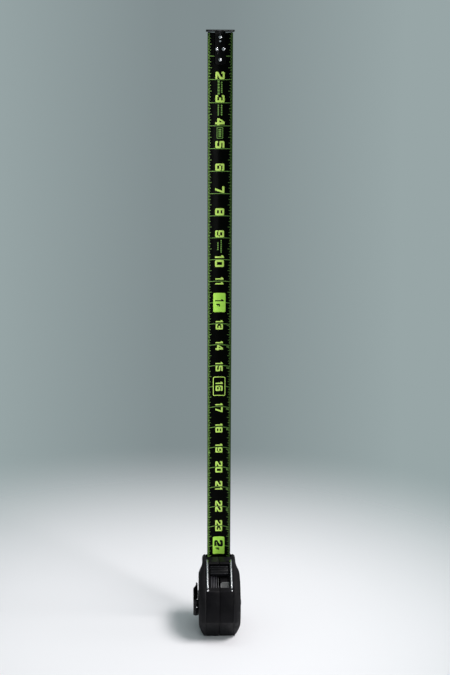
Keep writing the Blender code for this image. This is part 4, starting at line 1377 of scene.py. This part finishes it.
def scale_marks(marks):
    """Sixteenths of an inch from both edges, and a line right across at each inch."""
    half = BLADE_WIDTH / 2
    for sixteenth in range(1, LAST_INCH * 16):
        along = sixteenth * INCH / 16
        if along > BLADE_TOP - CASE_LENGTH + MARKS_INTO_MOUTH:
            break
        if sixteenth % 16 == 0:
            inch_line(marks, sixteenth // 16, along)
            continue
        length = TICK_LENGTHS[max(step for step in TICK_LENGTHS if sixteenth % step == 0)]
        for side in (-1, 1):
            middle = side * (half - EDGE_STRIPE - length / 2 + TICK_OVERLAP)
            marks.area([(box_outline(along, middle, TICK_LINE, length), [])], step=2.0)


def line_gap(inch):
    """Half the width that an inch line leaves free for what is printed, or lies, on it."""
    if inch == 1:
        return ARM_HALF_WIDTH + 0.6
    if inch % FOOT == 0:
        return BLOCK_WIDTH / 2
    return BOXED_WIDTH / 2 if inch == BOXED_INCH else 0.0


def inch_line(marks, inch, along):
    """A line right across the blade, with a gap where something is printed."""
    half = BLADE_WIDTH / 2 - EDGE_STRIPE
    gap = line_gap(inch)
    for low, high in [(-half, -gap), (gap, half)] if gap else [(-half, half)]:
        marks.area([(box_outline(along, (low + high) / 2, INCH_LINE, high - low), [])], step=2.0)


def foot_blocks(blocks, block_figures):
    """A lime block with rounded corners at each foot, with the foot's figure in it."""
    for inch in range(FOOT, LAST_INCH, FOOT):
        along = inch * INCH
        text = str(inch // FOOT)
        blocks.area([(box_outline(along, 0.0, BLOCK_LENGTH, BLOCK_WIDTH, BLOCK_CORNER), [])])
        width = figure_width(text, FOOT_FIGURE) + BLOCK_SPACE + figure_width("F", FOOT_LETTER)
        look = {"lift": FOOT_INK_LIFT, "share": BOLD_SHARE}
        end = write(block_figures, text, along - width / 2, -FOOT_FIGURE / 2, FOOT_FIGURE, **look)
        low = FOOT_LETTER_SHIFT - FOOT_FIGURE / 2
        write(block_figures, "F", end + FOOT_LETTER_SHIFT, low, FOOT_LETTER, **look)


def figures(numerals):
    """The first digit stands just above its inch line, and the second one below it."""
    for inch in range(2, LAST_INCH - 1):
        if inch % FOOT == 0:
            continue
        text = str(inch)
        height = figure_height(inch)
        start = inch * INCH - LINE_CLEARANCE[len(text)] - figure_width(text[0], height)
        if inch == BOXED_INCH:
            total = sum(figure_width(letter, height) for letter in text) + BLOCK_SPACE
            start = inch * INCH - total / 2
        write(numerals, text, start, -height / 2, height, space=PAIR_SPACE)


def open_box(ink_of, along, length, width, line, corners):
    """A rectangle's outline as a line."""
    outer = box_outline(along, 0.0, length, width, corners[0])
    inner = box_outline(along, 0.0, length - 2 * line, width - 2 * line, corners[1])
    ink_of.area([(outer, [inner])])


def small_marks(small):
    """Inches past the foot, the layout diamonds, and plain bars where small print goes."""
    half = BLADE_WIDTH / 2
    for inch in range(FOOT + 1, 2 * FOOT):
        if inch == BOXED_INCH:
            continue
        place = (inch * INCH + REMAINDER_SHIFT, half - REMAINDER_INSET)
        write(small, str(inch - FOOT), *place, REMAINDER_FIGURE, space=REMAINDER_SPACE)
    long, wide = DIAMOND_HALF
    for side in (-1, 1):
        across = side * (half - DIAMOND_INSET)
        diamond = [(DIAMOND_PITCH - long, across), (DIAMOND_PITCH, across + wide)]
        diamond += [(DIAMOND_PITCH + long, across), (DIAMOND_PITCH, across - wide)]
        small.area([(diamond, [])])
    inches, length, width, line = SMALL_FRAME
    for row in DASH_ROWS[:-1]:
        dash_row(small, *row)
    open_box(small, inches * INCH, length, width, line, (1.0, 0.6))
    dash_row(small, *DASH_ROWS[-1])


def dash_row(dim, first_inch, last_inch, across, height, count):
    """A row of plain bars."""
    pitch = (last_inch - first_inch) * INCH / count
    for i in range(count):
        along = first_inch * INCH + (i + 0.5) * pitch
        dim.area([(box_outline(along, across, pitch * DASH_SHARE, height, DASH_CORNER), [])])


def blade_print(finishes):
    """All that is printed on the blade, in one piece for each colour or purpose."""
    inks = {
        "print_figures": "lime_ink", "print_foot_blocks": "block_ink", "print_block_figures": "dark_ink",
        "print_scale_marks": "mark_ink", "print_small_marks": "mark_ink", "print_edge_stripes": "green_ink",
    }
    prints = [Print(name) for name in inks]
    numerals, blocks, block_figures, marks, small, stripes = prints
    figures(numerals)
    open_box(numerals, BOXED_INCH * INCH, BOXED_LENGTH, BOXED_WIDTH, BOXED_LINE, (2.0, 1.2))
    foot_blocks(blocks, block_figures)
    scale_marks(marks)
    small_marks(small)
    edge_stripes(stripes)
    for made, ink_name in zip(prints, inks.values()):
        made.piece(finishes[ink_name])


# ---- hook and rivets


def rivet_slot(across, drop):
    """Cutter for a slot in the hook's arm, which is longer than the rivet by the hook's travel."""
    axis = rivet_axis(across)
    middle = Vector(blade_point(across, BLADE_TOP - drop, 0.0))
    side = axis.cross(Vector((0.0, 0.0, 1.0)))
    radius = RIVET_SHANK + GAP
    rings = []
    for reach in (0.0, SLOT_REACH):
        ring = []
        for k in range(32):
            angle = 2 * math.pi * (k + 0.5) / 32
            drop_by = HOOK_TRAVEL if math.sin(angle) < 0 else 0.0
            up = Vector((0.0, 0.0, radius * math.sin(angle) - drop_by))
            ring.append(middle + axis * reach + side * (radius * math.cos(angle)) + up)
        rings.append(ring)
    return loft(rings)


def flange_outline():
    """A rectangle with rounded corners, which covers the end of the blade and reaches in front of it."""
    corners = []
    right = FLANGE_HALF_WIDTH - FLANGE_CORNER
    back = BASE_Y - FLANGE_CORNER
    front = FLANGE_FRONT + FLANGE_CORNER
    centres = ((right, back), (-right, back), (-right, front), (right, front))
    for quarter, centre in enumerate(centres):
        corners += arc(centre, FLANGE_CORNER, 90.0 * quarter, 90.0 * quarter + 90.0, 10)
    return corners


def end_hook(finish):
    """Flange over the end of the blade, and an arm with a rounded foot that lies in the blade's hollow."""
    levels = (FLANGE_TOP - FLANGE_THICKNESS, FLANGE_TOP)
    plate = loft([[(x, y, z) for x, y in flange_outline()] for z in levels])
    hook = make_object("hook_body", plate, finish)
    stations = even(-ARM_HALF_WIDTH, ARM_HALF_WIDTH, 16)
    back = -(BLADE_THICKNESS / 2 + GAP)
    straight = BLADE_TOP - ARM_LENGTH + ARM_FOOT_ROUND

    def width_of(height):
        return end_share(straight - height, ARM_FOOT_ROUND, ARM_HALF_WIDTH)

    heights = [straight - ARM_FOOT_ROUND * math.cos(math.radians(a)) for a in (0.0, 20.0, 40.0, 60.0, 90.0)]
    heights += even(straight, FLANGE_TOP - 0.4, 6)[1:]
    combine(hook, "UNION", [cupped_strip(stations, heights, back - ARM_THICKNESS, back, width_of)])
    nail = Vector(blade_point(0.0, BLADE_TOP - NAIL_HOLE_DROP, 0.0))
    slots = [rivet_slot(across, drop) for across, drop in RIVET_PLACES]
    slots.append(cylinder(NAIL_HOLE_RADIUS, nail, nail + rivet_axis(0.0) * SLOT_REACH))
    combine(hook, "DIFFERENCE", slots)
    round_edges(hook, 0.22, 3)
    return belong(hook, "hook", ["end_hook"])


def hook_rivets(finish):
    """Rivets with a domed head in front of the arm, and a flat tail behind the blade."""
    front = BLADE_THICKNESS / 2 + 2 * GAP + ARM_THICKNESS
    back = -(BLADE_THICKNESS / 2 + GAP)
    rim = front + 0.15
    profile = [(1.5, back - 0.8), (1.8, back - 0.6), (1.9, back - 0.3), (1.9, back), (RIVET_SHANK, back)]
    profile += [(RIVET_SHANK, front), (RIVET_HEAD, front), (RIVET_HEAD, rim)]
    profile += domed(RIVET_HEAD, rim, 0.8, 8)[1:]
    for number, (across, drop) in enumerate(RIVET_PLACES, 1):
        middle = blade_point(across, BLADE_TOP - drop, 0.0)
        body = turned(profile, middle, rivet_axis(across), 32)
        rivet = settle(make_object(f"rivet_{number}", body, finish))
        belong(rivet, "blade", [f"hook_rivet_{number}"])


# ---- thumb lock


def lock_lever(finish):
    """Slider with two cross ridges, a hollowed thumb rest and a raised tail."""
    outline = [on_slope(t, n) for t, n in LEVER_PROFILE]
    slider = make_object("lever_slider", prism(outline, -LEVER_HALF_WIDTH, LEVER_HALF_WIDTH), finish)
    round_edges(slider, 0.35, 3, 50.0)
    stem = slope_block(-STEM_HALF_WIDTH, STEM_HALF_WIDTH, STEM_START, STEM_END, -TRAY_FLOOR - 0.6, -2.0)
    combine(slider, "UNION", [stem])
    return belong(slider, "lever", ["lock_lever"])


# ---- belt clip


def clip_path():
    """The middle line of the clip's spring strip, from its fixed leaf to the flared tip."""
    bend_radius = (CLIP_INNER_X - CLIP_OUTER_X) / 2
    bend = arc((CLIP_BEND_X, CLIP_BEND_Y), bend_radius, 0.0, -180.0, 24)
    return [(CLIP_INNER_X, 3.5)] + bend + [(CLIP_OUTER_X + inward, y) for inward, y in CLIP_LEAF]


def belt_clip(finish):
    """Spring strip: a leaf on the flank, a bend at the crown side, and a free leaf with a flared tip."""
    levels = {-1: CLIP_LOW, 1: CLIP_HIGH}
    body = strip(clip_path(), CLIP_THICKNESS, lambda point, side: (point.x, point.y, levels[side]))
    clip = make_object("clip_spring", body, finish)
    y, z = CLIP_SCREW
    hole_x = CLIP_BEND_X + 1.0
    bend_hole = (hole_x, CLIP_BEND_Y - 6.0, CLIP_HOLE_Z), (hole_x, CLIP_BEND_Y, CLIP_HOLE_Z)
    holes = [
        cylinder(SCREW_HOLE, (CLIP_INNER_X + 2.0, y, z), (CLIP_INNER_X - 2.0, y, z), 16),
        cylinder(4.0, (CLIP_OUTER_X + 2.0, y, z), (CLIP_OUTER_X - 2.0, y, z), 40),
        cylinder(0.8, *bend_hole, 20),
    ]
    combine(clip, "DIFFERENCE", holes)
    round_edges(clip, 0.2, 2)
    return belong(clip, "case", ["belt_clip"])


# ---- pieces that keep their CAD shape


def dress(node, finish, width=0.0):
    """Gives a CAD node its finish, and rounds its edges."""
    obj = frame["nodes"][node]
    obj.data.materials.clear()
    obj.data.materials.append(finish)
    if width:
        add_bevel(obj, width, 2, 50.0)


# ---- stage

FLOOR_RADIUS = 2600.0
# The floor's pale middle is a painted pool of light, which fades out into the grey background.
LIGHT_POOL_CENTRE = (-0.065, 0.0, 0.0)  # metres
LIGHT_POOL_REACH = (0.14, 0.74)  # metres from the centre, where the floor starts to fade and where it is gone
# The middle's darker grey is painted shade straight behind the object.
BACK_MIDDLE_SHADE = linear((130, 142, 144))
BACK_SIDE = linear((152, 166, 167))
BACK_TURN = (0.03, 0.2)  # how far sideways, from 0 to 1, the middle's grey ends and the side's is full
FILL_STRENGTH = 0.66  # light from the surroundings, against what the camera sees of them

# place, target, size, power in watts and colour
LIGHTS = {
    "key": ((2300.0, -1100.0, 4300.0), (0.0, 0.0, 60.0), (2100.0, 1000.0), 203.0, (1.0, 0.94, 0.945)),
    "overhead": ((0.0, 110.0, 1900.0), (0.0, 0.0, 0.0), (1400.0, 420.0), 4.4, (1.0, 1.0, 1.0)),
    "front": ((900.0, -1350.0, 500.0), (0.0, 0.0, 250.0), (1200.0, 350.0), 6.5, (1.0, 1.0, 1.0)),
    "side": ((1500.0, -200.0, 400.0), (0.0, 0.0, 60.0), (400.0, 400.0), 3.5, (1.0, 0.97, 0.99)),
}

CAMERA_AT = (-32.0, -1139.0, 608.0)
CAMERA_PITCH = 12.0
CAMERA_YAW = 1.9
CAMERA_ROLL = 0.25
LENS = 53.92
SENSOR = 36.0


def floor():
    """Pale floor that fades out into the background some way from the object: a painted pool of light."""
    body = bmesh.new()
    bmesh.ops.create_circle(body, cap_ends=True, segments=96, radius=FLOOR_RADIUS)
    material = bpy.data.materials.new("floor")
    material.use_nodes = True
    tree = material.node_tree
    shader = tree.nodes["Principled BSDF"]
    shader.inputs["Roughness"].default_value = 0.6
    shader.inputs["Specular IOR Level"].default_value = 0.2
    tone = blend_colours(tree, noise(tree, 3.0, 3.0), linear((236, 238, 240)), linear((242, 243, 246)))
    tree.links.new(tone, shader.inputs["Base Color"])
    coordinates = add(tree, "TexCoord").outputs["Object"]
    away = add(tree, "VectorMath", {0: coordinates, 1: LIGHT_POOL_CENTRE}, operation="DISTANCE")
    fade = between(tree, away.outputs["Value"], 0.0, 1.0, *LIGHT_POOL_REACH, "SMOOTHSTEP")
    clear = add(tree, "BsdfTransparent")
    mixed = add(tree, "MixShader", {0: fade, 1: shader.outputs["BSDF"], 2: clear.outputs["BSDF"]})
    tree.links.new(mixed.outputs["Shader"], tree.nodes["Material Output"].inputs["Surface"])
    make_object("floor", body, material)


def background():
    """Plain grey surroundings with painted shade: a little darker straight behind the object."""
    world = bpy.data.worlds.new("studio")
    bpy.context.scene.world = world
    world.use_nodes = True
    tree = world.node_tree
    direction = add(tree, "TexCoord").outputs["Generated"]
    parts = add(tree, "SeparateXYZ", {"Vector": direction})
    sideways = add(tree, "Math", {0: parts.outputs["X"]}, operation="ABSOLUTE").outputs["Value"]
    share = between(tree, sideways, 0.0, 1.0, *BACK_TURN)
    shader = tree.nodes["Background"]
    tree.links.new(blend_colours(tree, share, BACK_MIDDLE_SHADE, BACK_SIDE), shader.inputs["Color"])
    seen = add(tree, "LightPath").outputs["Is Camera Ray"]
    tree.links.new(between(tree, seen, FILL_STRENGTH, 1.0, 0.0, 1.0), shader.inputs["Strength"])


def area_light(name, at, towards, size, power, colour):
    lamp = bpy.data.lights.new(name, "AREA")
    lamp.shape = "RECTANGLE"
    lamp.size = size[0] * MM
    lamp.size_y = size[1] * MM
    lamp.energy = power
    lamp.color = colour
    obj = bpy.data.objects.new(name, lamp)
    bpy.context.scene.collection.objects.link(obj)
    place = Vector(at) * MM
    obj.location = place
    obj.rotation_euler = (Vector(towards) * MM - place).to_track_quat("-Z", "Y").to_euler()
    obj.visible_camera = False


def camera():
    data = bpy.data.cameras.new("camera")
    data.lens = LENS
    data.sensor_width = SENSOR
    data.clip_start = 0.05
    data.clip_end = 50.0
    obj = bpy.data.objects.new("camera", data)
    bpy.context.scene.collection.objects.link(obj)
    turn = Matrix.Rotation(math.radians(-CAMERA_YAW), 4, "Z")
    tilt = Matrix.Rotation(math.radians(90.0 - CAMERA_PITCH), 4, "X")
    roll = Matrix.Rotation(math.radians(CAMERA_ROLL), 4, "Z")
    place = Matrix.Translation((Vector(CAMERA_AT) - ORIGIN) * MM)
    obj.matrix_world = place @ turn @ tilt @ roll
    bpy.context.scene.camera = obj


# ---- assembly


def dress_cad_nodes(finishes):
    """Finishes of the pieces that keep their CAD shape."""
    rubber = finishes["grip_rubber"]
    white = finishes["nylon"]
    spring_steel = finishes["spring_steel"]
    dress("spool", white, 0.3)
    dress("spool_cover", white, 0.2)
    dress("power_spring", spring_steel)
    dress("wound_tape", finishes["blade_coating"])
    dress("centre_post", finishes["bright_steel"], 0.2)
    dress("blade_guide", white, 0.2)
    dress("brake_arm", spring_steel, 0.2)
    dress("brake_pad", rubber, 0.2)


def main():
    bpy.context.scene.view_settings.view_transform = "Standard"
    finishes = {"moulded_plastic": moulded_plastic(), "grip_rubber": grip_rubber()}
    for name in FINISHES:
        finishes[name] = grained(name)

    for side in SIDES:
        case_half(side, finishes["moulded_plastic"])
        grip(side, finishes["grip_rubber"])
        guard_rod(side, finishes["bright_steel"])
        rod_pin(side, finishes["polished_steel"])
    track_plate(finishes["track_plate"])
    track_ribs(finishes["pale_rib_plastic"])
    track_rail(finishes["track_plate"])
    side_badge(badge_metal())
    screws(finishes["black_steel"])
    belt_clip(finishes["black_steel"])
    lock_lever(finishes["lever_plastic"])
    blade(finishes["blade_coating"])
    blade_print(finishes)
    end_hook(finishes["black_steel"])
    hook_rivets(finishes["polished_steel"])
    dress_cad_nodes(finishes)

    floor()
    background()
    for name, values in LIGHTS.items():
        area_light(name, *values)
    camera()


main()
